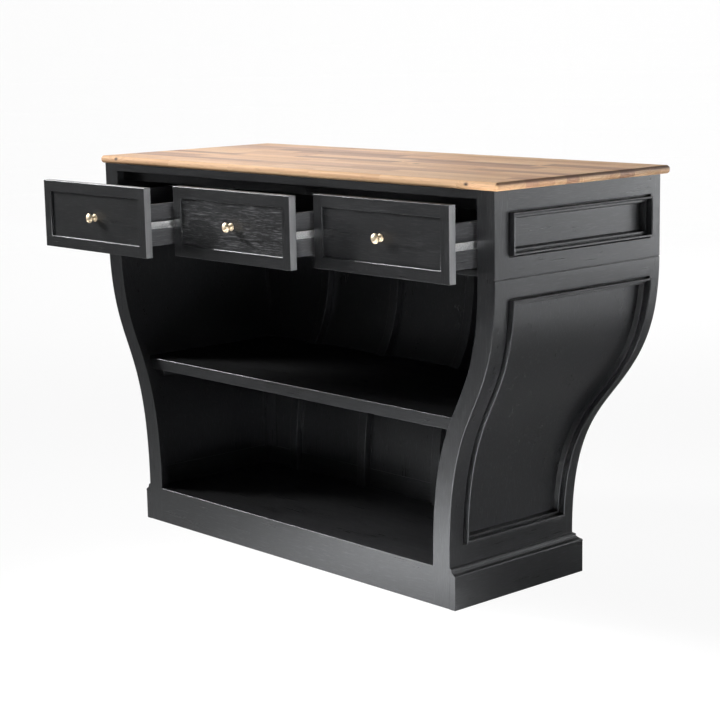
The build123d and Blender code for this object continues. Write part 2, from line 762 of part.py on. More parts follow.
def save_cabinet():
    """The fixed part of the counter."""
    save("countertop", [countertop()])
    save("countertop_screws", top_screws())
    save("top_stretchers", top_stretchers())
    rail_bottom = BODY_TOP - TOP_RAIL_HEIGHT
    save("front_top_rail", [block(-OPENING_HALF, OPENING_HALF, FRONT, BEHIND_STILE, rail_bottom, BODY_TOP)])
    save_pair("upper_stile", [front_stile(SEAM, BODY_TOP)])
    save_pair("lower_stile", [front_stile(0, SEAM)])
    base_half = FOOT_HALF - STILE_WIDTH
    save("front_base_rail", [block(-base_half, base_half, FRONT, BEHIND_STILE, 0, FLOOR_HEIGHT)])
    save("floor_panel", [floor_panel()])
    save("floor_bearers", floor_bearers())
    save("shelf", [shelf()])
    save("support_cleats", support_cleats())
    save("drawer_deck", [block(-INSIDE_HALF, INSIDE_HALF, DECK_FRONT, INSIDE_BACK, SEAM, DECK_TOP)])
    save("drawer_dividers", drawer_dividers())
    save("slide_packers", slide_packers())
    save("slide_channels", [piece for x in drawer_places() for piece in slide_pair(slide_channel, x)])
    for name, storey in (("upper", UPPER), ("lower", LOWER)):
        bay = end_bay(storey)
        save_pair(f"{name}_end_frame", end_frame(storey))
        save_pair(f"{name}_end_panel", [bay_panel(bay)])
        save_pair(f"{name}_end_moulding", bay_moulding(bay))
        save(f"{name}_back_panels", for_each_back_bay(storey, lambda bay: [bay_panel(bay)]))
    save("upper_back_frame", back_frame(UPPER))
    save("lower_back_frame", [*back_frame(LOWER), *back_ribs()])
    save("back_mouldings", [*for_each_back_bay(UPPER, bay_moulding), *for_each_back_bay(LOWER, bay_moulding)])
    out_half = FOOT_HALF + PLINTH_THICKNESS
    out_back = FOOT_BACK + PLINTH_THICKNESS
    save_pair("plinth", [block(FOOT_HALF, out_half, FRONT, out_back, 0, PLINTH_HEIGHT)])
    save("plinth_back", [block(-FOOT_HALF, FOOT_HALF, FOOT_BACK, out_back, 0, PLINTH_HEIGHT)])
    save("plinth_moulding", plinth_moulding())


def save_drawer(name, middle, opened):
    """One drawer, pulled out by opened, with its ball cages half as far."""

    def placed(shapes, out):
        return [Pos(middle, -out, 0) * shape for shape in shapes]

    save(f"drawer_{name}_front_frame", placed(drawer_front_frame(), opened))
    save(f"drawer_{name}_front_panel", placed([drawer_front_panel()], opened))
    save(f"drawer_{name}_box", placed(drawer_box(), opened))
    save(f"drawer_{name}_bottom", placed([drawer_bottom()], opened))
    save(f"drawer_{name}_knob", placed(knob(), opened))
    save(f"drawer_{name}_slide_rails", placed(slide_pair(slide_rail, 0), opened))
    save(f"drawer_{name}_ball_cages", placed(slide_pair(ball_cage, 0), opened / 2))


os.makedirs("parts", exist_ok=True)
save_cabinet()
for drawer_name, drawer_middle, drawer_opened in zip(DRAWER_NAMES, drawer_places(), DRAWER_OPENED):
    save_drawer(drawer_name, drawer_middle, drawer_opened)
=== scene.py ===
import math
import random
from collections import namedtuple
from functools import lru_cache

import bmesh
import bpy
from mathutils import Matrix, Vector


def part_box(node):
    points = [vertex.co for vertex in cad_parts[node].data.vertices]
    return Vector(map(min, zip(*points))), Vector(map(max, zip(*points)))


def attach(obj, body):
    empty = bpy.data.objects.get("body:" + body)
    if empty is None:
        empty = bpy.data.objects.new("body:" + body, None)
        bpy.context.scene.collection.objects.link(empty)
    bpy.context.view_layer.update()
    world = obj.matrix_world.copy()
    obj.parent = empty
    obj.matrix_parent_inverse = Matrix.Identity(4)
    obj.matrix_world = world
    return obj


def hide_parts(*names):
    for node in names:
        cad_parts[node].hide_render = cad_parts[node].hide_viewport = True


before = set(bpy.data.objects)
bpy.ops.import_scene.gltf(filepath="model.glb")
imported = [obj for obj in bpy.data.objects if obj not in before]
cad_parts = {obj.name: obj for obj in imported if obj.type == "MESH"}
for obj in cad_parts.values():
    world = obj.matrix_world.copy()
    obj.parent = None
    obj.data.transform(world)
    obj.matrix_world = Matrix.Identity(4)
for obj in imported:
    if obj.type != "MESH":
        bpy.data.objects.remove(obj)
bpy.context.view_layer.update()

# A bar counter of black painted wood with S-curved ends and back, a board top, brass knobs and zinc slides
# Metres, in the frame of the construction: +X right, +Y away from the open side, +Z up

# Places and sizes read from the construction
TOP_LOW, TOP_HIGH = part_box("countertop")
STILE_LOW, STILE_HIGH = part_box("upper_stile_right")
PLINTH_LOW, PLINTH_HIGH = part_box("plinth_right")
BACK_LOW, BACK_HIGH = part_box("upper_back_frame")
PLINTH_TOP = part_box("plinth_moulding")[1].z
HALF = STILE_HIGH.x
OPENING_HALF = STILE_LOW.x
FRONT = STILE_LOW.y
BEHIND_STILE = STILE_HIGH.y
BACK = BACK_HIGH.y
SEAM = STILE_LOW.z
BODY_TOP = STILE_HIGH.z
RAIL_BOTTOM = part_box("front_top_rail")[0].z
FLOOR_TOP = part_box("front_base_rail")[1].z
FOOT_HALF = PLINTH_LOW.x
FOOT_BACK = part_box("plinth_back")[0].y
PLINTH_THICKNESS = PLINTH_HIGH.x - PLINTH_LOW.x
FRAME_THICKNESS = BACK_HIGH.y - BACK_LOW.y
INSIDE_HALF = HALF - FRAME_THICKNESS
STILE_THICKNESS = BEHIND_STILE - FRONT
STOREYS = {"upper": (SEAM, BODY_TOP), "lower": (0.0, SEAM)}

# The S-curve: how far the foot comes in, and how far each end of the curve is pulled
FOOT_STRAIGHT = 0.005
CURVE_FOOT = PLINTH_TOP + FOOT_STRAIGHT
END_DROP = HALF - FOOT_HALF
END_PULLS = (0.346, 0.431)
BACK_DROP = BACK - FOOT_BACK
BACK_PULLS = (0.4755, 0.462)
SLICE = 0.012
HALVINGS = 40

# Frames, panels and mouldings of the ends and the back
FIT = 0.0002
FRAME_WIDTH = 0.046
END_REAR_STILE = 0.035
BACK_SIDE_STILE = 0.040
BACK_OUTER = INSIDE_HALF - FIT
MUNTIN = 0.040
BACK_BAYS = 5
BAY_PITCH = 2 * INSIDE_HALF / BACK_BAYS
RIB_WIDTH = 0.030
RIB_DEPTH = 0.018
SEAM_GROOVE = 0.0025
PANEL_RECESS = 0.016
PANEL_THICKNESS = 0.004
PANEL_TONGUE = 0.006
GROOVE_WIDTH = 0.004
GROOVE_DEPTH = 0.010
BEAD_WIDTH = 0.0055
BEAD_RISE = 0.0115
BEAD_ROUNDING = 0.0014
BEAD_STEPS = 5
STEP_WIDTH = 0.0075
STEP_DEPTH = 0.0025
STEP_ROUNDING = 0.0012
STEP_STEPS = 4
QUIRK_WIDTH = 0.0012
QUIRK_DEPTH = 0.0015
MOULDING_FOOT = 0.003
ARRIS = 0.0012
SOFT_ARRIS = 0.0006

# Moulding on the plinth, in shares of its depth and height
LIP_MIDDLE = (0.78, 0.10)
LIP_RADIUS = 0.22
SLOPE = ((0.70, 0.34), (0.52, 0.46), (0.36, 0.62))
TOP_BEAD_MIDDLE = (0.20, 0.78)
TOP_BEAD_RADIUS = 0.15
PLINTH_ROUND_STEPS = 8

# Drawers
DRAWERS = ("left", "middle", "right")
FRONT_FRAME = 0.029
FRONT_RECESS = 0.0055
BOX_BOARD = 0.012
BOX_ARRIS = 0.0015

# Knobs: flange on the panel, cove up to the stem, and a round head with a ring in its face
KNOB_PROJECTION = 0.024
KNOB_STEPS = 64
FLANGE_RADIUS = 0.0095
FLANGE_THICKNESS = 0.0045
FLANGE_FOOT_INSET = 0.0004
FLANGE_ROUNDING = 0.0016
FLANGE_ROUNDING_RISE = 0.0018
FLANGE_SHOULDER_INSET = 0.0030
FLANGE_SHOULDER_DROP = 0.0010
STEM_RADIUS = 0.005
COVE_RADIUS = 0.0022
COVE_ASIDE = 0.0018
COVE_RISE = 0.0030
COVE_FOOT = 0.0015
NECK_LENGTH = 0.0010
NECK_FLARE = 0.0008
HEAD_RADIUS = 0.0122
HEAD_THICKNESS = 0.0115
HEAD_RIM = 0.36 * HEAD_THICKNESS
HEAD_RIM_RISE = 0.0010
FACE_DOME = 0.0012
FACE_RING = ((0.0074, 0.0006), (0.0068, 0.0002), (0.0062, 0.0006), (0.0040, 0.0010))

# Heads of the knobs' screws
SCREW_RADIUS = 0.004
SCREW_HEIGHT = 0.0025
SCREW_STEPS = 32
SCREW_FACE = ((0.0, 0.0), (0.0012, 0.0006), (0.8 * SCREW_RADIUS, 0.0004), (SCREW_RADIUS, 0.0014))

# Countertop boards, each glued from staves whose lengths are counted in steps
BOARD_COUNT = 13
BOARD_SPREAD = 0.35
STAVE_STEPS = 24
FIRST_STAVE = (3, 9)
NEXT_STAVE = (4, 8)
FRONT_TONE = 0.25
TONE_LEAN = 1.6
PITH_DEPTHS = (0.02, 0.07)
PITH_ASIDE = 0.05
TOP_ROUNDING = 0.0088
TOP_ROUNDING_STEPS = 6

# Knots in the countertop: heart and size
KNOTS = (
    ((-0.675, -0.229, 0.993), 0.0045),
    ((0.655, -0.229, 0.992), 0.004),
    ((0.21, 0.05, 1.0), 0.006),
    ((-0.33, 0.21, 1.0), 0.005),
)
KNOT_STRETCH = 0.55
KNOT_SWERVE = 0.012

# Colours and gloss of the wood, with tones from the palest stave to the darkest
PALE_TONES = (
    (0.0, (0.90, 0.61, 0.36)),
    (0.35, (0.85, 0.52, 0.28)),
    (0.7, (0.71, 0.41, 0.26)),
    (1.0, (0.55, 0.31, 0.20)),
)
DARK_TONES = (
    (0.0, (0.60, 0.33, 0.17)),
    (0.35, (0.49, 0.25, 0.12)),
    (0.7, (0.37, 0.19, 0.10)),
    (1.0, (0.24, 0.115, 0.06)),
)
PORE_BROWN = (0.13, 0.065, 0.035, 1)
KNOT_BROWN = (0.055, 0.025, 0.014, 1)
END_GRAIN_BROWN = (0.17, 0.085, 0.045, 1)
# Painted shade: a darker brown laid on the upper half of the top's rounded ends
UPPER_ARRIS_SHADE = (0.10, 0.045, 0.025, 1)
WOOD_ROUGHNESS = (0.38, 0.52)
HANDLED_ROUGHNESS = 0.3
RINGS_PER_METRE = 210.0
RING_ROWS = 57.0
RING_WAVER = 0.010

# Features per metre in the wood, along and across the grain
WOOD_WAVER = (2.2, 14)
WOOD_BROAD = (0.7, 26)
WOOD_FIBRE = (5, 420)
WOOD_PORES = (32, 1000)

# Colours and gloss of the paint
PAINT_DARK = 0.0045
PAINT_LIGHT = 0.0080
THIN_LIGHTER = 1.6
DARK_BLUE = 1.08
LIGHT_BLUE = 1.06
PORE_GREY = (0.12, 0.122, 0.126, 1)
WORN_GREY = (0.060, 0.060, 0.060, 1)
BARE_GREY = (0.20, 0.202, 0.207, 1)
WORN_SHARE = 0.30
WEAR_PATCHES = 70.0
PAINT_ROUGHNESS = (0.27, 0.36)
PAINT_TINT = (0.93, 0.96, 1.0, 1)

# Features per metre in the paint, along and across the grain under it
PAINT_FIBRE = (7, 330)
PAINT_FINE_PORES = (40, 1150)
PAINT_COARSE_PORES = (22, 420)
PAINT_CLOUD = (6, 22)

# Colours of the metals, and features per metre in them
BRASS_BRIGHT = (0.84, 0.72, 0.54, 1)
BRASS_TARNISHED = (0.68, 0.53, 0.34, 1)
TARNISH_PATCHES = 130.0
TURNED_LINES = (60.0, 4000.0, 60.0)
DRAWN_LINES = (900.0, 25.0, 900.0)
SPANGLES = 260.0
STEEL_BLUE = 1.02

# Edges flatter than these are shaded as one surface, or aren't eased
SMOOTH_ANGLE = math.radians(50)
SHARP_ANGLE = math.radians(30)

# Points nearer than this count as one, and heights are rounded to so many digits
WELD_REACH = 1e-6
HEIGHT_DIGITS = 6

# Chance, and how far each board's texture is shifted by it
SEED = 7
SHIFT_REACH = 3
chance = random.Random(SEED)


# Shader building
def add(tree, kind, inputs=None, **settings):
    """A shader node with its settings, and with its inputs set to values or linked to outputs."""
    node = tree.nodes.new("ShaderNode" + kind)
    for name, value in settings.items():
        setattr(node, name, value)
    for key, value in (inputs or {}).items():
        if isinstance(value, bpy.types.NodeSocket):
            tree.links.new(value, node.inputs[key])
        else:
            node.inputs[key].default_value = value
    return node


def math_node(tree, operation, *values):
    """The result of one sum."""
    return add(tree, "Math", dict(enumerate(values)), operation=operation).outputs[0]


def vector_node(tree, operation, *values, **named):
    """A node that does one sum with vectors."""
    return add(tree, "VectorMath", {**dict(enumerate(values)), **named}, operation=operation)


def fit(tree, value, low, high, to_low=0.0, to_high=1.0):
    """A value moved from one range to another, and held there."""
    return add(tree, "MapRange", {0: value, 1: low, 2: high, 3: to_low, 4: to_high}).outputs[0]


def mix(tree, share, first, second):
    """A colour between two colours."""
    return add(tree, "Mix", {0: share, 6: first, 7: second}, data_type="RGBA").outputs[2]


def ramp(tree, value, stops):
    """A colour from a row of stops, each a place from 0 to 1 and a colour."""
    node = add(tree, "ValToRGB", {0: value})
    elements = node.color_ramp.elements
    elements[0].position, elements[-1].position = stops[0][0], stops[-1][0]
    for place, _ in stops[1:-1]:
        elements.new(place)
    for element, (_, colour) in zip(elements, stops):
        element.color = (*colour, 1)
    return node.outputs["Color"]


def grey(level, blue=1.0):
    """A grey with its blue raised by a factor."""
    return level, level, blue * level, 1


def noise(tree, place, scale, detail=2.0, roughness=0.5):
    """Cloudy noise from 0 to 1."""
    inputs = {"Vector": place, "Scale": scale, "Detail": detail, "Roughness": roughness}
    return add(tree, "TexNoise", inputs).outputs["Fac"]


def stretched_noise(tree, place, features, detail):
    """Noise with its own features per metre along X, Y and Z."""
    return noise(tree, vector_node(tree, "MULTIPLY", place, features).outputs[0], 1.0, detail)


def grain_noise(tree, place, axis, features, detail, roughness=0.5):
    """Noise drawn out along the grain, with its features per metre given along and across it."""
    along, across = features
    run = vector_node(tree, "DOT_PRODUCT", place, axis).outputs["Value"]
    extra = math_node(tree, "MULTIPLY", run, along - across)
    lengthwise = vector_node(tree, "SCALE", axis, Scale=extra).outputs[0]
    crosswise = vector_node(tree, "SCALE", place, Scale=across).outputs[0]
    drawn_out = vector_node(tree, "ADD", lengthwise, crosswise).outputs[0]
    return noise(tree, drawn_out, 1.0, detail, roughness)


def attribute(tree, name, output="Vector"):
    """A value that the mesh holds for each face."""
    return add(tree, "Attribute", attribute_name=name).outputs[output]


def new_material(name):
    """A material with its node tree and its surface shader."""
    material = bpy.data.materials.new(name)
    material.use_nodes = True
    tree = material.node_tree
    return material, tree, tree.nodes["Principled BSDF"]


def own_place(tree):
    """The place on the piece, shifted for each board so that no two boards look alike."""
    place = add(tree, "TexCoord").outputs["Object"]
    return vector_node(tree, "ADD", place, attribute(tree, "shift")).outputs[0]


def roughen(tree, shader, height, strength, distance):
    """Gives a shader a bump."""
    bump = add(tree, "Bump", {"Strength": strength, "Distance": distance, "Height": height})
    tree.links.new(bump.outputs[0], shader.inputs["Normal"])


# Materials
def black_paint(name, open_grain, fixed_axis=None, thin=0.0):
    """Satin black paint over wood. Pores show more with open grain, and thin paint is lighter."""
    material, tree, shader = new_material(name)
    if fixed_axis is None:
        axis = attribute(tree, "grain")
    else:
        axis = add(tree, "CombineXYZ", dict(enumerate(fixed_axis))).outputs[0]
    place = own_place(tree)
    fibre = grain_noise(tree, place, axis, PAINT_FIBRE, 4.0, 0.6)
    fine = fit(tree, grain_noise(tree, place, axis, PAINT_FINE_PORES, 3.0, 0.6), 0.56, 0.72)
    coarse = fit(tree, grain_noise(tree, place, axis, PAINT_COARSE_PORES, 2.0, 0.6), 0.56, 0.74)
    pores = math_node(tree, "MULTIPLY", math_node(tree, "MAXIMUM", fine, coarse), open_grain)
    cloud = grain_noise(tree, place, axis, PAINT_CLOUD, 4.0, 0.6)
    rubbed = fit(tree, noise(tree, place, WEAR_PATCHES, 4.0), 0.46, 0.70)
    worn = math_node(tree, "MULTIPLY", attribute(tree, "edge", "Fac"), rubbed)
    streaks = fit(tree, fibre, 0.2, 0.8, 0.6, 1.0)
    bare = math_node(tree, "MULTIPLY", attribute(tree, "cut_end", "Fac"), streaks)
    dark = PAINT_DARK + thin
    light = PAINT_LIGHT + THIN_LIGHTER * thin
    tone = mix(tree, cloud, grey(dark, DARK_BLUE), grey(light, LIGHT_BLUE))
    tone = mix(tree, pores, tone, PORE_GREY)
    tone = mix(tree, math_node(tree, "MULTIPLY", worn, WORN_SHARE), tone, WORN_GREY)
    tone = mix(tree, bare, tone, BARE_GREY)
    tree.links.new(tone, shader.inputs["Base Color"])
    satin = fit(tree, fibre, 0.25, 0.75, *PAINT_ROUGHNESS)
    patchy = fit(tree, cloud, 0.3, 0.7, -0.03, 0.03)
    tree.links.new(math_node(tree, "ADD", satin, patchy), shader.inputs["Roughness"])
    shader.inputs["Specular IOR Level"].default_value = 0.7
    shader.inputs["Specular Tint"].default_value = PAINT_TINT
    height = math_node(tree, "SUBTRACT", math_node(tree, "MULTIPLY", fibre, 0.5), pores)
    roughen(tree, shader, height, 0.35, 0.0004)
    return material


def knot_fields(tree, spot):
    """How much of a spot is knot, and how far the rings swerve round the knots."""
    knots = 0.0
    swerve = 0.0
    for heart, size in KNOTS:
        away = vector_node(tree, "SUBTRACT", spot, heart).outputs[0]
        away = vector_node(tree, "MULTIPLY", away, (KNOT_STRETCH / size, 1 / size, 1 / size)).outputs[0]
        distance = vector_node(tree, "LENGTH", away).outputs["Value"]
        knots = math_node(tree, "ADD", knots, fit(tree, distance, 0.4, 1.3, 1.0, 0.0))
        swerve = math_node(tree, "ADD", swerve, fit(tree, distance, 0.0, 5.0, KNOT_SWERVE, 0.0))
    return knots, swerve


def growth_bands(tree, spot, waver, swerve, tone):
    """Bands of growth round each stave's own pith."""
    pith = vector_node(tree, "SUBTRACT", spot, attribute(tree, "pith")).outputs[0]
    across = vector_node(tree, "MULTIPLY", pith, (0.0, 1.0, 1.0)).outputs[0]
    radius = vector_node(tree, "LENGTH", across).outputs["Value"]
    radius = math_node(tree, "ADD", radius, fit(tree, waver, 0.0, 1.0, -RING_WAVER, RING_WAVER))
    radius = math_node(tree, "ADD", radius, swerve)
    ring = math_node(tree, "MULTIPLY", radius, RINGS_PER_METRE)
    row = math_node(tree, "MULTIPLY", tone, RING_ROWS)
    rings = add(tree, "CombineXYZ", {0: ring, 1: row}).outputs[0]
    return fit(tree, noise(tree, rings, 1.0, 3.0, 0.65), 0.32, 0.68)


def oiled_boards(name):
    """Oiled boards: growth bands, pores, a few knots, darker end grain, painted shade on the upper half of
    the rounded ends, and a matt front edge.
    """
    material, tree, shader = new_material(name)
    spot = add(tree, "TexCoord").outputs["Object"]
    place = own_place(tree)
    axis = add(tree, "CombineXYZ", {0: 1.0}).outputs[0]
    tone = attribute(tree, "tone", "Fac")
    knots, swerve = knot_fields(tree, spot)
    waver = grain_noise(tree, place, axis, WOOD_WAVER, 3.0)
    bands = growth_bands(tree, spot, waver, swerve, tone)
    broad = fit(tree, grain_noise(tree, place, axis, WOOD_BROAD, 2.0), 0.3, 0.7)
    fibre = grain_noise(tree, place, axis, WOOD_FIBRE, 4.0, 0.65)
    pores = fit(tree, grain_noise(tree, place, axis, WOOD_PORES, 2.0), 0.60, 0.72)
    band_share = math_node(tree, "MULTIPLY", bands, 0.55)
    broad_share = math_node(tree, "MULTIPLY", broad, 0.35)
    share = math_node(tree, "ADD", band_share, broad_share)
    share = math_node(tree, "ADD", share, fit(tree, fibre, 0.3, 0.7, -0.10, 0.18))
    colour = mix(tree, share, ramp(tree, tone, PALE_TONES), ramp(tree, tone, DARK_TONES))
    colour = mix(tree, math_node(tree, "MULTIPLY", pores, 0.45), colour, PORE_BROWN)
    colour = mix(tree, knots, colour, KNOT_BROWN)
    turned = add(tree, "SeparateXYZ", {0: add(tree, "NewGeometry").outputs["Normal"]}).outputs
    endwise = math_node(tree, "ABSOLUTE", turned["X"])
    colour = mix(tree, fit(tree, endwise, 0.55, 0.95, 0.0, 0.25), colour, END_GRAIN_BROWN)
    # Painted shade: faces that turn to the ends and also face upward are darkened
    upper = fit(tree, turned["Z"], 0.05, 0.45, 0.0, 0.8)
    painted_shade = math_node(tree, "MULTIPLY", fit(tree, endwise, 0.12, 0.45), upper)
    colour = mix(tree, painted_shade, colour, UPPER_ARRIS_SHADE)
    tree.links.new(colour, shader.inputs["Base Color"])
    oiled = fit(tree, fibre, 0.25, 0.75, *WOOD_ROUGHNESS)
    handled = fit(tree, turned["Y"], -0.1, -0.4, 0.0, HANDLED_ROUGHNESS)
    tree.links.new(math_node(tree, "ADD", oiled, handled), shader.inputs["Roughness"])
    height = math_node(tree, "SUBTRACT", math_node(tree, "MULTIPLY", fibre, 0.4), pores)
    roughen(tree, shader, height, 0.3, 0.0003)
    return material


def polished_brass(name):
    """Turned and polished brass with fine lines round the axis and slight tarnish."""
    material, tree, shader = new_material(name)
    place = add(tree, "TexCoord").outputs["Object"]
    tarnish = noise(tree, place, TARNISH_PATCHES, 4.0)
    colour = mix(tree, fit(tree, tarnish, 0.4, 0.7), BRASS_BRIGHT, BRASS_TARNISHED)
    tree.links.new(colour, shader.inputs["Base Color"])
    shader.inputs["Metallic"].default_value = 1.0
    tree.links.new(fit(tree, tarnish, 0.3, 0.7, 0.44, 0.56), shader.inputs["Roughness"])
    roughen(tree, shader, stretched_noise(tree, place, TURNED_LINES, 2.0), 0.08, 0.0001)
    return material


def steel(name, dull, bright):
    """Rolled steel strip: drawn along Y, with a faint spangle between two greys."""
    material, tree, shader = new_material(name)
    place = add(tree, "TexCoord").outputs["Object"]
    drawn = stretched_noise(tree, place, DRAWN_LINES, 3.0)
    spangle = noise(tree, place, SPANGLES, 2.0)
    colour = mix(tree, fit(tree, spangle, 0.35, 0.65), grey(dull, STEEL_BLUE), grey(bright))
    tree.links.new(colour, shader.inputs["Base Color"])
    shader.inputs["Metallic"].default_value = 1.0
    tree.links.new(fit(tree, drawn, 0.25, 0.75, 0.50, 0.66), shader.inputs["Roughness"])
    roughen(tree, shader, drawn, 0.12, 0.0001)
    return material


PAINT = black_paint("black_paint", 0.24)
PAINT_OPEN = black_paint("black_paint_open_grain", 1.0)
PAINT_THIN = black_paint("black_paint_thin", 0.9, thin=0.034)
PAINT_X = black_paint("black_paint_along_x", 0.24, (1, 0, 0))
PAINT_Y = black_paint("black_paint_along_y", 0.24, (0, 1, 0))
WOOD = oiled_boards("countertop_wood")
BRASS = polished_brass("brass")
ZINC = steel("zinc", 0.72, 0.90)
BLACK_STEEL = steel("black_steel", 0.02, 0.05)


# The S-curve
def s_curve(drop, pulls):
    """Function that gives how far a side has come in at a height."""
    upper_pull, lower_pull = pulls
    knees = (SEAM, SEAM - upper_pull, CURVE_FOOT + lower_pull, CURVE_FOOT)

    @lru_cache(maxsize=None)
    def come_in(z):
        if z >= SEAM:
            return 0.0
        if z <= CURVE_FOOT:
            return drop
        low, high = 0.0, 1.0
        for _ in range(HALVINGS):
            t = (low + high) / 2
            s = 1 - t
            height = knees[0] * s**3 + 3 * knees[1] * s * s * t + 3 * knees[2] * s * t * t + knees[3] * t**3
            low, high = (t, high) if height > z else (low, t)
        return drop * (3 * (1 - low) * low**2 + low**3)

    return come_in


end_comes_in = s_curve(END_DROP, END_PULLS)
back_comes_in = s_curve(BACK_DROP, BACK_PULLS)


# Mesh building
def plate(us, vs, ws, solid=None):
    """Closed mesh of a plate made of the cells between the lines us and vs, from ws[0] to ws[1] thick."""
    mesh = bmesh.new()
    spots = {}

    def spot(i, j, k):
        if (i, j, k) not in spots:
            spots[i, j, k] = mesh.verts.new((us[i], vs[j], ws[k]))
        return spots[i, j, k]

    cells = {(i, j) for i in range(len(us) - 1) for j in range(len(vs) - 1) if solid is None or solid(i, j)}
    for i, j in cells:
        for k in (0, 1):
            mesh.faces.new([spot(i, j, k), spot(i + 1, j, k), spot(i + 1, j + 1, k), spot(i, j + 1, k)])
        rims = {
            (i - 1, j): ((i, j), (i, j + 1)),
            (i + 1, j): ((i + 1, j), (i + 1, j + 1)),
            (i, j - 1): ((i, j), (i + 1, j)),
            (i, j + 1): ((i, j + 1), (i + 1, j + 1)),
        }
        for neighbour, (a, b) in rims.items():
            if neighbour not in cells:
                mesh.faces.new([spot(*a, 0), spot(*b, 0), spot(*b, 1), spot(*a, 1)])
    return mesh


def facing_front(depth_from):
    """Where a plate's u, v and w go when it faces the front: X, Z, and Y from a depth."""
    return Matrix(((1, 0, 0, 0), (0, 0, 1, depth_from), (0, 1, 0, 0), (0, 0, 0, 1)))


def facing_end(side):
    """Where a plate's u, v and w go when it faces an end: Y, Z, and inward from the end."""
    return Matrix(((0, 0, -side, side * HALF), (1, 0, 0, 0), (0, 1, 0, 0), (0, 0, 0, 1)))


def facing_back():
    """Where a plate's u, v and w go when it faces the back: X, Z, and inward from the back."""
    return Matrix(((1, 0, 0, 0), (0, 0, -1, BACK), (0, 1, 0, 0), (0, 0, 0, 1)))


def put(mesh, matrix=Matrix.Identity(4)):
    """Moves a mesh to its place and turns its faces outward."""
    mesh.transform(matrix)
    bmesh.ops.recalc_face_normals(mesh, faces=mesh.faces)
    return mesh


def block(low, high):
    """A plain board between two corners."""
    return put(plate((low[0], high[0]), (low[1], high[1]), (low[2], high[2])))


def arc(middle, radius, start, stop, steps):
    """Points on an arc, its angles in degrees."""
    turns = [math.radians(start + (stop - start) * index / steps) for index in range(steps + 1)]
    return [(middle[0] + radius * math.cos(turn), middle[1] + radius * math.sin(turn)) for turn in turns]


def lathe(profile, steps, place):
    """A turned shape: its profile is radius and distance out along -Y from a place."""
    mesh = bmesh.new()
    turns = [2 * math.pi * index / steps for index in range(steps)]
    rings = []
    for radius, out in profile:
        ring_turns = turns if radius else [0.0]
        spokes = [(radius * math.cos(turn), radius * math.sin(turn)) for turn in ring_turns]
        rings.append([mesh.verts.new((place[0] + x, place[1] - out, place[2] + z)) for x, z in spokes])
    for one, other in zip(rings, rings[1:]):
        for index in range(steps):
            following = (index + 1) % steps
            corners = [one[index % len(one)], one[following % len(one)]]
            corners += [other[following % len(other)], other[index % len(other)]]
            mesh.faces.new(list(dict.fromkeys(corners)))
    bmesh.ops.recalc_face_normals(mesh, faces=mesh.faces)
    return mesh


def ease(mesh, radius, where=None, segments=2):
    """Rounds the outer edges of a mesh, or those whose middle passes a test, and marks the new faces."""
    mesh.normal_update()
    worn = mesh.faces.layers.float.get("edge") or mesh.faces.layers.float.new("edge")
    edges = []
    for edge in mesh.edges:
        middle = (edge.verts[0].co + edge.verts[1].co) / 2
        if edge.is_convex and edge.calc_face_angle(0) > SHARP_ANGLE and (where is None or where(middle)):
            edges.append(edge)
    made = bmesh.ops.bevel(
        mesh,
        geom=edges,
        offset=radius,
        offset_type="OFFSET",
        segments=segments,
        profile=0.5,
        affect="EDGES",
        clamp_overlap=True,
    )
    for face in made["faces"]:
        face[worn] = 1.0
    return mesh


def cut_through(mesh, place, across, reach=0.0):
    """Cuts the faces of a mesh along a plane. Points within reach count as on the plane."""
    everything = mesh.verts[:] + mesh.edges[:] + mesh.faces[:]
    bmesh.ops.bisect_plane(mesh, geom=everything, dist=reach, plane_co=place, plane_no=across)


def bend(mesh, end_from=None, back_from=None, cut=True):
    """Bends a mesh along the S. Beyond end_from it follows the ends, behind back_from the back."""
    if cut:
        heights = [v.co.z for v in mesh.verts]
        low = max(min(heights), CURVE_FOOT)
        high = min(max(heights), SEAM)
        count = math.ceil(max(high - low, 0) / SLICE)
        for index in range(count + 1):
            level = low + (high - low) * index / max(count, 1)
            cut_through(mesh, (0, 0, level), (0, 0, 1), WELD_REACH)
    for vert in mesh.verts:
        height = round(vert.co.z, HEIGHT_DIGITS)
        if end_from is not None and abs(vert.co.x) > end_from:
            vert.co.x -= math.copysign(end_comes_in(height), vert.co.x)
        if back_from is not None and vert.co.y > back_from:
            vert.co.y -= back_comes_in(height)
    return mesh


def mark_grain(mesh, axis_at):
    """Gives each face the grain of its board: axis_at names the axis and the board at a point."""
    vectors = mesh.faces.layers.float_vector
    grain = vectors.get("grain") or vectors.new("grain")
    shift = vectors.get("shift") or vectors.new("shift")
    shifts = {}
    for face in mesh.faces:
        axis, board = axis_at(face.calc_center_median())
        if board not in shifts:
            shifts[board] = Vector([chance.uniform(-SHIFT_REACH, SHIFT_REACH) for _ in range(3)])
        face[grain] = Vector((axis == "x", axis == "y", axis == "z"))
        face[shift] = shifts[board]
    return mesh


def one_grain(axis):
    """Grain of a piece that is one board."""
    return lambda point: (axis, 0)


def joined(meshes):
    """Several meshes as one."""
    whole = bmesh.new()
    for name in ("grain", "shift"):
        whole.faces.layers.float_vector.new(name)
    whole.faces.layers.float.new("edge")
    for mesh in meshes:
        held = bpy.data.meshes.new("joining")
        mesh.to_mesh(held)
        mesh.free()
        whole.from_mesh(held)
        bpy.data.meshes.remove(held)
    return whole


def piece(name, mesh, material, slot, body, *nodes):
    """A finished piece that rides on a body and stands for nodes of the construction."""
    data = bpy.data.meshes.new(name)
    mesh.to_mesh(data)
    mesh.free()
    data.polygons.foreach_set("use_smooth", [True] * len(data.polygons))
    data.set_sharp_from_angle(angle=SMOOTH_ANGLE)
    data.materials.append(material)
    obj = bpy.data.objects.new(name, data)
    bpy.context.scene.collection.objects.link(obj)
    shading = obj.modifiers.new("even_shading", "WEIGHTED_NORMAL")
    shading.keep_sharp = True
    shading.weight = 100
    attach(obj, body)
    if nodes:
        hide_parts(*nodes)
    return obj


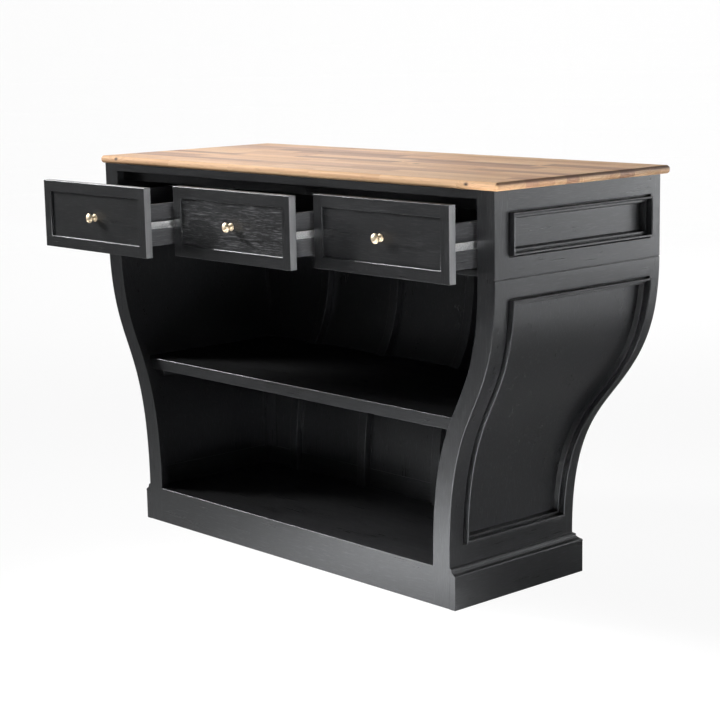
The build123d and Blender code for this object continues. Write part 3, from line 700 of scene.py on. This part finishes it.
def painted(node, mesh, body="cabinet", material=PAINT):
    """A painted piece that stands for one node of the construction."""
    piece(f"painted_{node}", mesh, material, "black_paint", body, node)


def finish_node(name, material, arris=None):
    """Gives a node of the construction its material, and eased edges where it has an arris."""
    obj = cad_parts[name]
    obj.data.materials.clear()
    obj.data.materials.append(material)
    if arris:
        weld = obj.modifiers.new("weld", "WELD")
        weld.merge_threshold = WELD_REACH
        rounding = obj.modifiers.new("arris", "BEVEL")
        rounding.width = arris
        rounding.segments = 2
        rounding.limit_method = "ANGLE"
        rounding.angle_limit = SHARP_ANGLE
        rounding.harden_normals = True


# Front frame
FRONT_MEMBERS = (
    "lower_stile_left",
    "upper_stile_left",
    "lower_stile_right",
    "upper_stile_right",
    "front_base_rail",
    "front_top_rail",
)


def front_member(point):
    """Which member of the front frame holds a point, before the frame is bent."""
    if abs(point.x) < OPENING_HALF:
        return "front_base_rail" if point.z < SEAM else "front_top_rail"
    storey = "lower" if point.z < SEAM else "upper"
    side = "left" if point.x < 0 else "right"
    return f"{storey}_stile_{side}"


def front_frame():
    """Stiles and rails of the open side, flush and painted over as one, then taken apart into members."""
    groove = HALF - SEAM_GROOVE
    us = (-HALF, -groove, -OPENING_HALF, OPENING_HALF, groove, HALF)
    vs = (0, FLOOR_TOP, SEAM - SEAM_GROOVE, SEAM, RAIL_BOTTOM, BODY_TOP)
    opening_cells = {(2, 1), (2, 2), (2, 3)}
    groove_cells = {(0, 2), (4, 2)}
    empty = opening_cells | groove_cells
    mesh = plate(us, vs, (0, STILE_THICKNESS), lambda i, j: (i, j) not in empty)
    put(mesh, facing_front(FRONT))
    ease(mesh, ARRIS, lambda point: point.y < FRONT + FIT)
    mark_grain(mesh, lambda point: ("x" if "rail" in front_member(point) else "z", front_member(point)))
    member = mesh.faces.layers.int.new("member")
    for face in mesh.faces:
        face[member] = FRONT_MEMBERS.index(front_member(face.calc_center_median()))
    bend(mesh, end_from=OPENING_HALF - FIT)
    for index, name in enumerate(FRONT_MEMBERS):
        part = mesh.copy()
        layer = part.faces.layers.int["member"]
        others = [face for face in part.faces if face[layer] != index]
        bmesh.ops.delete(part, geom=others, context="FACES")
        bmesh.ops.holes_fill(part, edges=[edge for edge in part.edges if edge.is_boundary])
        painted(name, part)
    mesh.free()


# Frame, panel and moulding of an opening
Opening = namedtuple("Opening", "near far bottom top")


def opening_heights(storey):
    """Lowest and highest point of the openings of a storey."""
    bottom, top = STOREYS[storey]
    return max(bottom, PLINTH_TOP) + FRAME_WIDTH, top - FRAME_WIDTH


def end_opening(storey):
    """The opening in an end."""
    return Opening(FRONT + FRAME_WIDTH, BACK - END_REAR_STILE, *opening_heights(storey))


def muntin_places():
    """Where the back's muntins stand along the length."""
    return [-INSIDE_HALF + index * BAY_PITCH for index in range(1, BACK_BAYS)]


def back_openings(storey):
    """The openings in the back, from left to right."""
    heights = opening_heights(storey)
    lefts = [BACK_SIDE_STILE - INSIDE_HALF] + [x + MUNTIN / 2 for x in muntin_places()]
    rights = [-left for left in reversed(lefts)]
    return [Opening(left, right, *heights) for left, right in zip(lefts, rights)]


def moulding_profile():
    """Section of the moulding, as distance in and depth: groove, proud bead, quirk, step and foot."""
    bead_far = GROOVE_WIDTH + BEAD_WIDTH
    bead_inner = 2 * BEAD_ROUNDING
    step_near = bead_far + QUIRK_WIDTH
    step_far = bead_far + STEP_WIDTH
    step_middle = STEP_DEPTH + STEP_ROUNDING
    quirk = STEP_DEPTH + QUIRK_DEPTH
    bed = PANEL_RECESS - FIT
    points = [(FIT, bed), (FIT, GROOVE_DEPTH), (GROOVE_WIDTH, GROOVE_DEPTH)]
    outer_middle = (GROOVE_WIDTH + BEAD_ROUNDING, BEAD_ROUNDING - BEAD_RISE)
    points += arc(outer_middle, BEAD_ROUNDING, 180, 270, BEAD_STEPS)
    points += arc((bead_far - bead_inner, bead_inner - BEAD_RISE), bead_inner, 290, 360, BEAD_STEPS)
    points += [(bead_far, quirk), (step_near, quirk)]
    points += arc((step_near + STEP_ROUNDING, step_middle), STEP_ROUNDING, 180, 270, STEP_STEPS)
    points += arc((step_far - STEP_ROUNDING, step_middle), STEP_ROUNDING, 270, 350, STEP_STEPS)
    points += [(step_far + MOULDING_FOOT, bed)]
    return points


def moulding(opening):
    """A closed moulding round an opening, in the plate's own u, v and w."""
    mesh = bmesh.new()
    steps = max(2, math.ceil((opening.top - opening.bottom) / SLICE))
    loops = []
    for inset, depth in moulding_profile():
        left, right = opening.near + inset, opening.far - inset
        bottom, top = opening.bottom + inset, opening.top - inset
        heights = [bottom + (top - bottom) * index / steps for index in range(steps + 1)]
        points = [(left, z) for z in heights] + [(right, z) for z in reversed(heights)]
        loops.append([mesh.verts.new((u, v, depth)) for u, v in points])
    for one, other in zip(loops, loops[1:] + loops[:1]):
        for index in range(len(one)):
            following = (index + 1) % len(one)
            mesh.faces.new([one[index], one[following], other[following], other[index]])
    return mesh


def moulding_grain(opening, u_axis):
    """Grain along each strip of a moulding."""

    def at(point):
        u = getattr(point, u_axis)
        sideways = min(u - opening.near, opening.far - u)
        upright = min(point.z - opening.bottom, opening.top - point.z)
        if sideways < upright:
            return "z", u > (opening.near + opening.far) / 2
        return u_axis, 2 + (point.z > (opening.bottom + opening.top) / 2)

    return at


def panel(opening):
    """A panel with its tongues, in the plate's own u, v and w."""
    us = (opening.near - PANEL_TONGUE, opening.far + PANEL_TONGUE)
    vs = (opening.bottom - PANEL_TONGUE, opening.top + PANEL_TONGUE)
    return plate(us, vs, (PANEL_RECESS, PANEL_RECESS + PANEL_THICKNESS))


def frame_plate(us, storey, openings, rim):
    """Frame with its openings, in the plate's own u, v and w. The lower one is grooved along the seam."""
    bottom, top = STOREYS[storey]
    low, high = opening_heights(storey)
    groove = SEAM_GROOVE if storey == "lower" else 0.0
    nears = [opening.near for opening in openings]
    lines = sorted({*us, *nears, *[opening.far for opening in openings]})
    vs = (bottom, low, high, top - groove)
    mesh = plate(lines, vs, (0, FRAME_THICKNESS), lambda i, j: j != 1 or lines[i] not in nears)
    parts = [ease(put(mesh), ARRIS, rim)]
    if groove:
        parts.append(block((us[0], top - groove, groove), (us[-1], top, FRAME_THICKNESS)))
    return joined(parts)


def frame_grain(openings, u_axis):
    """Grain of a frame: rails along u, stiles and muntins upright."""

    def at(point):
        u = getattr(point, u_axis)
        if u < openings[0].near or u > openings[-1].far:
            return "z", f"stile{u > openings[0].near}"
        if openings[0].bottom < point.z < openings[0].top:
            return "z", f"muntin{round(u / BAY_PITCH)}"
        return u_axis, f"rail{point.z > openings[0].top}"

    return at


def at_seam(height, storey):
    """Whether a height lies on the edge of a frame along the seam."""
    bottom, top = STOREYS[storey]
    if storey == "lower":
        return height > top - SEAM_GROOVE - FIT
    return height < bottom + FIT


def end_rim(opening, storey):
    """Test for the outer edges of an end's frame: round the opening, at the back and along the seam."""

    def shown(point):
        if point.z >= FIT:
            return False
        beside = opening.near - FIT < point.x < opening.far + FIT
        level = opening.bottom - FIT < point.y < opening.top + FIT
        along_seam = at_seam(point.y, storey) and point.x > BEHIND_STILE
        return (beside and level) or point.x > BACK - FIT or along_seam

    return shown


def back_rim(storey):
    """Test for the outer edges of the back's frame: round the openings and along the seam."""
    low, high = opening_heights(storey)

    def shown(point):
        if point.z >= FIT:
            return False
        inner = low - FIT < point.y < high + FIT and abs(point.x) < BACK_OUTER - FIT
        return inner or at_seam(point.y, storey)

    return shown


def end(side, storey):
    """Frame, panel and moulding of one end in one storey."""
    hand = "right" if side > 0 else "left"
    opening = end_opening(storey)
    middle = (opening.near + opening.far) / 2
    whole = frame_plate((BEHIND_STILE, BACK), storey, [opening], end_rim(opening, storey))
    made = {
        "frame": (whole, frame_grain([opening], "y"), True),
        "panel": (panel(opening), one_grain("z" if storey == "lower" else "y"), True),
        "moulding": (moulding(opening), moulding_grain(opening, "y"), False),
    }
    for kind, (mesh, grain, cut) in made.items():
        mark_grain(put(mesh, facing_end(side)), grain)
        bend(mesh, end_from=0, back_from=middle, cut=cut)
        painted(f"{storey}_end_{kind}_{hand}", mesh)


def back_ribs():
    """Curved battens inside the back, one behind each muntin."""
    near = BACK - FRAME_THICKNESS - FIT
    inside = near - RIB_DEPTH / 2
    ribs = []
    for x in muntin_places():
        low = (x - RIB_WIDTH / 2, near - RIB_DEPTH + FIT, FLOOR_TOP)
        rib = block(low, (x + RIB_WIDTH / 2, near, SEAM))
        ease(rib, ARRIS, lambda point: point.y < inside)
        ribs.append(mark_grain(rib, one_grain("z")))
    return ribs


def back():
    """Frames, panels and mouldings of the guests' side."""
    bend_from = INSIDE_HALF - BAY_PITCH / 2
    mouldings = []
    for storey in STOREYS:
        openings = back_openings(storey)
        whole = frame_plate((-BACK_OUTER, BACK_OUTER), storey, openings, back_rim(storey))
        mark_grain(put(whole, facing_back()), frame_grain(openings, "x"))
        parts = [whole] + (back_ribs() if storey == "lower" else [])
        painted(f"{storey}_back_frame", bend(joined(parts), end_from=bend_from, back_from=FRONT))
        panels = [mark_grain(put(panel(opening), facing_back()), one_grain("z")) for opening in openings]
        painted(f"{storey}_back_panels", bend(joined(panels), end_from=bend_from, back_from=FRONT))
        for opening in openings:
            strip = mark_grain(put(moulding(opening), facing_back()), moulding_grain(opening, "x"))
            mouldings.append(bend(strip, end_from=bend_from, back_from=FRONT, cut=False))
    painted("back_mouldings", joined(mouldings))


# Plinth
def plinth_moulding_profile():
    """Section of the plinth's moulding, as distance out and up: a rounded lip, a slope and a bead."""
    height = PLINTH_TOP - PLINTH_HIGH.z
    deep = PLINTH_THICKNESS
    lip_middle = (LIP_MIDDLE[0] * deep, LIP_MIDDLE[1] * height)
    bead_middle = (TOP_BEAD_MIDDLE[0] * deep, TOP_BEAD_MIDDLE[1] * height)
    lip = arc(lip_middle, LIP_RADIUS * deep, 0, 62, PLINTH_ROUND_STEPS)
    slope = [(out * deep, up * height) for out, up in SLOPE]
    bead = arc(bead_middle, TOP_BEAD_RADIUS * deep, -20, 90, PLINTH_ROUND_STEPS)
    return [(0, 0), (deep, 0), *lip, *slope, *bead, (0, height)]


def plinth_moulding():
    """The moulding on the plinth, mitred at the back corners."""
    mesh = bmesh.new()
    rows = []
    for out, up in plinth_moulding_profile():
        half, far = FOOT_HALF + out, FOOT_BACK + out
        corners = ((-half, FRONT), (-half, far), (half, far), (half, FRONT))
        rows.append([mesh.verts.new((x, y, PLINTH_HIGH.z + up)) for x, y in corners])
    for one, other in zip(rows, rows[1:] + rows[:1]):
        for index in range(3):
            mesh.faces.new([one[index], one[index + 1], other[index + 1], other[index]])
    for index in (0, 3):
        mesh.faces.new([row[index] for row in rows])
    put(mesh)
    mark_grain(mesh, lambda point: ("x", 0) if point.y > FOOT_BACK else ("y", 1 + (point.x > 0)))
    painted("plinth_moulding", mesh)


def plinth_edge(point):
    """Whether a point is on an edge of the plinth that shows: on its outer faces, under its moulding."""
    beside = abs(point.x) > FOOT_HALF + PLINTH_THICKNESS - FIT
    behind = point.y > FOOT_BACK + PLINTH_THICKNESS - FIT
    return (beside or behind) and point.z < PLINTH_HIGH.z - FIT


def plinth_boards():
    """Boards of the plinth, with an arris where they turn a corner and where they meet the floor."""
    for name, axis in (("plinth_left", "y"), ("plinth_right", "y"), ("plinth_back", "x")):
        mesh = ease(block(*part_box(name)), ARRIS, plinth_edge)
        painted(name, mark_grain(mesh, one_grain(axis)))


# Countertop
def board_lines():
    """Where one board of the countertop ends and the next begins."""
    shares = [1 + chance.uniform(-BOARD_SPREAD, BOARD_SPREAD) for _ in range(BOARD_COUNT)]
    depth = TOP_HIGH.y - TOP_LOW.y
    lines = [TOP_LOW.y]
    for share in shares:
        lines.append(lines[-1] + depth * share / sum(shares))
    return lines


def stave_ends():
    """For each board, where its staves end, as counts of stave steps from the left."""
    rows = []
    for _ in range(BOARD_COUNT):
        ends = [chance.randint(*FIRST_STAVE)]
        while ends[-1] < STAVE_STEPS:
            ends.append(ends[-1] + chance.randint(*NEXT_STAVE))
        rows.append(ends)
    return rows


def stave_look(board, lines):
    """Tone and pith of one stave. The front board's staves are pale."""
    middle = (lines[board] + lines[board + 1]) / 2
    heart = TOP_LOW.z + chance.choice((-1, 1)) * chance.uniform(*PITH_DEPTHS)
    tone = chance.uniform(0, FRONT_TONE) if board == 0 else chance.random() ** TONE_LEAN
    return tone, Vector((0, middle + chance.uniform(-PITH_ASIDE, PITH_ASIDE), heart))


def countertop():
    """The top: one rounded slab of boards glued from staves, each stave with its own tone and pith."""
    mesh = ease(block(TOP_LOW, TOP_HIGH), TOP_ROUNDING, segments=TOP_ROUNDING_STEPS)
    lines = board_lines()
    rows = stave_ends()
    step = (TOP_HIGH.x - TOP_LOW.x) / STAVE_STEPS
    for y in lines[1:-1]:
        cut_through(mesh, (0, y, 0), (0, 1, 0))
    for index in range(1, STAVE_STEPS):
        cut_through(mesh, (TOP_LOW.x + index * step, 0, 0), (1, 0, 0))

    def stave_at(point):
        board = sum(point.y > y for y in lines[1:-1])
        return board, sum((point.x - TOP_LOW.x) / step > stop for stop in rows[board])

    mark_grain(mesh, lambda point: ("x", stave_at(point)))
    tone = mesh.faces.layers.float.new("tone")
    pith = mesh.faces.layers.float_vector.new("pith")
    looks = {}
    for face in mesh.faces:
        stave = stave_at(face.calc_center_median())
        if stave not in looks:
            looks[stave] = stave_look(stave[0], lines)
        face[tone], face[pith] = looks[stave]
    piece("countertop_boards", mesh, WOOD, "countertop_wood", "cabinet", "countertop")


# Drawers
def drawer_front(name, body):
    """Frame and recessed panel of a drawer's front. The middle one's panel has an open grain."""
    frame_node, panel_node = f"drawer_{name}_front_frame", f"drawer_{name}_front_panel"
    low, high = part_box(frame_node)
    us = (low.x, low.x + FRONT_FRAME, high.x - FRONT_FRAME, high.x)
    vs = (low.z, low.z + FRONT_FRAME, high.z - FRONT_FRAME, high.z)
    mesh = plate(us, vs, (0, high.y - low.y), lambda i, j: (i, j) != (1, 1))
    put(mesh, facing_front(low.y))
    ease(mesh, ARRIS)

    def grain(point):
        if us[1] < point.x < us[2]:
            return "x", point.z > vs[2]
        return "z", 2 + (point.x > us[2])

    mark_grain(mesh, grain)
    cut_end = mesh.faces.layers.float.new("cut_end")
    for face in mesh.faces:
        x = face.calc_center_median().x
        face[cut_end] = float(x < low.x + FIT or x > high.x - FIT)
    painted(frame_node, mesh, body)
    panel_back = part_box(panel_node)[1].y
    panel_low = (us[1] + FIT, low.y + FRONT_RECESS, vs[1] + FIT)
    core = block(panel_low, (us[2] - FIT, panel_back, vs[2] - FIT))
    mark_grain(core, one_grain("x"))
    painted(panel_node, core, body, PAINT_OPEN if name == "middle" else PAINT)


def drawer_box(name, body):
    """Sides, front and back of a drawer's box."""
    node = f"drawer_{name}_box"
    low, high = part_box(node)
    inner_left, inner_right = low.x + BOX_BOARD, high.x - BOX_BOARD
    boards = [
        ((low.x, low.y), (inner_left, high.y), "y"),
        ((inner_right, low.y), (high.x, high.y), "y"),
        ((inner_left, low.y), (inner_right, low.y + BOX_BOARD), "x"),
        ((inner_left, high.y - BOX_BOARD), (inner_right, high.y), "x"),
    ]
    parts = []
    for near, far, axis in boards:
        board = block((*near, low.z), (*far, high.z))
        ease(board, BOX_ARRIS, lambda point: point.z > high.z - FIT)
        parts.append(mark_grain(board, one_grain(axis)))
    painted(node, joined(parts), body, PAINT_THIN)


def knob_profile():
    """Section of a knob: a rounded flange, a waisted stem, and a thick head with a ring in its face."""
    neck = KNOB_PROJECTION - HEAD_THICKNESS
    face = KNOB_PROJECTION - FACE_DOME
    points = [(0, 0), (FLANGE_RADIUS - FLANGE_FOOT_INSET, 0)]
    points += arc((FLANGE_RADIUS - FLANGE_ROUNDING, FLANGE_ROUNDING_RISE), FLANGE_ROUNDING, -60, 80, 8)
    points += [(FLANGE_RADIUS - FLANGE_SHOULDER_INSET, FLANGE_THICKNESS - FLANGE_SHOULDER_DROP)]
    points += [(STEM_RADIUS + COVE_FOOT, FLANGE_THICKNESS)]
    points += arc((STEM_RADIUS + COVE_ASIDE, FLANGE_THICKNESS + COVE_RISE), COVE_RADIUS, 240, 180, 5)
    points += [(STEM_RADIUS, neck - NECK_LENGTH), (STEM_RADIUS + NECK_FLARE, neck)]
    points += arc((HEAD_RADIUS - HEAD_RIM, neck + HEAD_RIM + HEAD_RIM_RISE), HEAD_RIM, -70, 62, 14)
    points += [(radius, face + rise) for radius, rise in FACE_RING]
    return points + [(0, KNOB_PROJECTION)]


def knob(name, body):
    """A brass knob on the front's panel, and the head of its screw inside the drawer."""
    node = f"drawer_{name}_knob"
    low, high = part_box(node)
    x, z = (low.x + high.x) / 2, (low.z + high.z) / 2
    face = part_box(f"drawer_{name}_front_frame")[0].y + FRONT_RECESS
    piece(f"brass_{node}", lathe(knob_profile(), KNOB_STEPS, (x, face, z)), BRASS, "brass", body, node)
    head = [*SCREW_FACE, (SCREW_RADIUS, SCREW_HEIGHT), (0, SCREW_HEIGHT)]
    piece(f"zinc_{node}_screw", lathe(head, SCREW_STEPS, (x, high.y, z)), ZINC, "slide_steel", body)


def drawer(name):
    """Everything that a drawer carries, and the ball cages that run at half its speed."""
    body = f"{name}_drawer"
    drawer_front(name, body)
    drawer_box(name, body)
    knob(name, body)
    finish_node(f"drawer_{name}_bottom", PAINT_X)
    finish_node(f"drawer_{name}_slide_rails", ZINC)
    finish_node(f"drawer_{name}_ball_cages", ZINC)


# Everything of the object
front_frame()
for end_side in (-1, 1):
    for end_storey in STOREYS:
        end(end_side, end_storey)
back()
plinth_boards()
plinth_moulding()
countertop()
for drawer_name in DRAWERS:
    drawer(drawer_name)
for node_name in ("shelf", "drawer_deck", "floor_panel", "top_stretchers"):
    finish_node(node_name, PAINT_X, ARRIS)
for node_name in ("drawer_dividers", "slide_packers", "support_cleats", "floor_bearers"):
    finish_node(node_name, PAINT_Y, SOFT_ARRIS)
finish_node("slide_channels", ZINC)
finish_node("countertop_screws", BLACK_STEEL)


# Floor and backdrop
STAGE_RADIUS = 7.0
SWEEP_RADIUS = 1.2
WALL_HEIGHT = 3.5
STAGE_STEPS = 96
PALE = (0.75, 0.75, 0.75, 1)
WHITE_SEEN = 0.93
WHITE_MIRRORED = 0.05


def pale_floor(name):
    """A pale matt surface that is seen as white and keeps the object's shadow."""
    material, tree, shader = new_material(name)
    shader.inputs["Base Color"].default_value = PALE
    shader.inputs["Roughness"].default_value = 0.9
    shader.inputs["Specular IOR Level"].default_value = 0.0
    rays = add(tree, "LightPath").outputs
    mirrored = math_node(tree, "ADD", rays["Is Glossy Ray"], rays["Is Transmission Ray"])
    seen = math_node(tree, "MULTIPLY", rays["Is Camera Ray"], WHITE_SEEN)
    share = math_node(tree, "ADD", seen, math_node(tree, "MULTIPLY", mirrored, WHITE_MIRRORED))
    white = add(tree, "Emission", {"Color": (1, 1, 1, 1), "Strength": 1.0})
    blend = add(tree, "MixShader", {0: share, 1: shader.outputs[0], 2: white.outputs[0]})
    tree.links.new(blend.outputs[0], tree.nodes["Material Output"].inputs["Surface"])
    return material


def stage():
    """A round pale floor that sweeps up into a wall."""
    profile = [(0.0, 0.0), (STAGE_RADIUS, 0.0)]
    profile += arc((STAGE_RADIUS, SWEEP_RADIUS), SWEEP_RADIUS, -80, 0, 8)
    profile.append((STAGE_RADIUS + SWEEP_RADIUS, WALL_HEIGHT))
    mesh = lathe(profile, STAGE_STEPS, (0, 0, 0))
    mesh.transform(Matrix.Rotation(math.radians(-90), 4, "X"))
    data = bpy.data.meshes.new("floor")
    mesh.to_mesh(data)
    mesh.free()
    data.materials.append(pale_floor("pale_floor"))
    floor = bpy.data.objects.new("floor", data)
    bpy.context.scene.collection.objects.link(floor)


# Lamps: place, what it points at, size, spread in degrees and power
Lamp = namedtuple("Lamp", "place target size spread power")
LAMPS = {
    "key": Lamp((-5.68, -2.93, 4.0), (0.45, -0.2, 0.5), 1.7, 32, 34),
    "floor_front": Lamp((0.25, -0.68, 0.6), (0.25, -0.681, 0.0), 0.6, 110, 10),
    "floor_right": Lamp((2.7, 2.0, 1.0), (2.7, 2.001, 0.0), 1.0, 100, 16),
    "floor_corner": Lamp((1.15, -1.0, 0.7), (1.15, -1.001, 0.0), 0.9, 100, 40),
    "top_left": Lamp((-1.0, 0.45, 2.3), (-0.35, 0.1, 1.0), 0.8, 60, 1.35),
    "camera_side": Lamp((3.0, -2.9, 0.98), (0.3, -0.2, 0.95), 0.8, 30, 0.55),
    "right_lamp": Lamp((3.4, -0.95, 1.0), (0.2, -0.25, 1.10), 0.5, 20, 0.8),
    "right_back": Lamp((2.3, 3.5, 0.85), (0.7, 0.2, 0.8), 1.0, 60, 1.9),
    "back_high": Lamp((1.45, 2.2, 2.4), (0.7, 0.1, 0.3), 1.4, 180, 8.5),
    "back_panel": Lamp((-5.98, 4.19, 1.7), (0.0, 0.07, 1.0), 3.0, 180, 28),
    "backdrop_left": Lamp((-2.2, 3.2, 3.2), (-5.0, 5.5, 0.3), 2.0, 180, 210),
    "backdrop_right": Lamp((2.4, 3.8, 3.0), (4.4, 7.0, 0.7), 2.0, 120, 265),
}
SKY = (0.03, 0.03, 0.031, 1)


def lamps():
    """Soft square lamps and a dim even sky."""
    for name, lamp in LAMPS.items():
        data = bpy.data.lights.new(name, "AREA")
        data.shape = "SQUARE"
        data.size = lamp.size
        data.spread = math.radians(lamp.spread)
        data.energy = lamp.power
        obj = bpy.data.objects.new(name, data)
        obj.location = lamp.place
        aim = Vector(lamp.target) - Vector(lamp.place)
        obj.rotation_euler = aim.to_track_quat("-Z", "Y").to_euler()
        obj.visible_camera = False
        bpy.context.scene.collection.objects.link(obj)
    world = bpy.data.worlds.new("sky")
    world.use_nodes = True
    world.node_tree.nodes["Background"].inputs["Color"].default_value = SKY
    bpy.context.scene.world = world


# Camera
CAMERA_PLACE = (3.520, -3.15275, 1.348)
CAMERA_AZIMUTH = math.radians(47.79)
CAMERA_DOWN = math.radians(10.32)
CAMERA_ROLL = math.radians(-1.09)
CAMERA_LENS = 92.865
SENSOR = 36.0


def camera():
    """The camera at the photograph's place and angle."""
    ahead = Vector(
        (
            -math.sin(CAMERA_AZIMUTH) * math.cos(CAMERA_DOWN),
            math.cos(CAMERA_AZIMUTH) * math.cos(CAMERA_DOWN),
            -math.sin(CAMERA_DOWN),
        )
    )
    level = Vector((math.cos(CAMERA_AZIMUTH), math.sin(CAMERA_AZIMUTH), 0))
    upward = level.cross(ahead)
    right = math.cos(CAMERA_ROLL) * level + math.sin(CAMERA_ROLL) * upward
    up = -math.sin(CAMERA_ROLL) * level + math.cos(CAMERA_ROLL) * upward
    data = bpy.data.cameras.new("camera")
    data.lens = CAMERA_LENS
    data.sensor_width = SENSOR
    obj = bpy.data.objects.new("camera", data)
    axes = Matrix((right, up, -ahead)).transposed().to_4x4()
    obj.matrix_world = Matrix.Translation(CAMERA_PLACE) @ axes
    bpy.context.scene.collection.objects.link(obj)
    bpy.context.scene.camera = obj


stage()
lamps()
camera()
bpy.context.scene.view_settings.view_transform = "Standard"
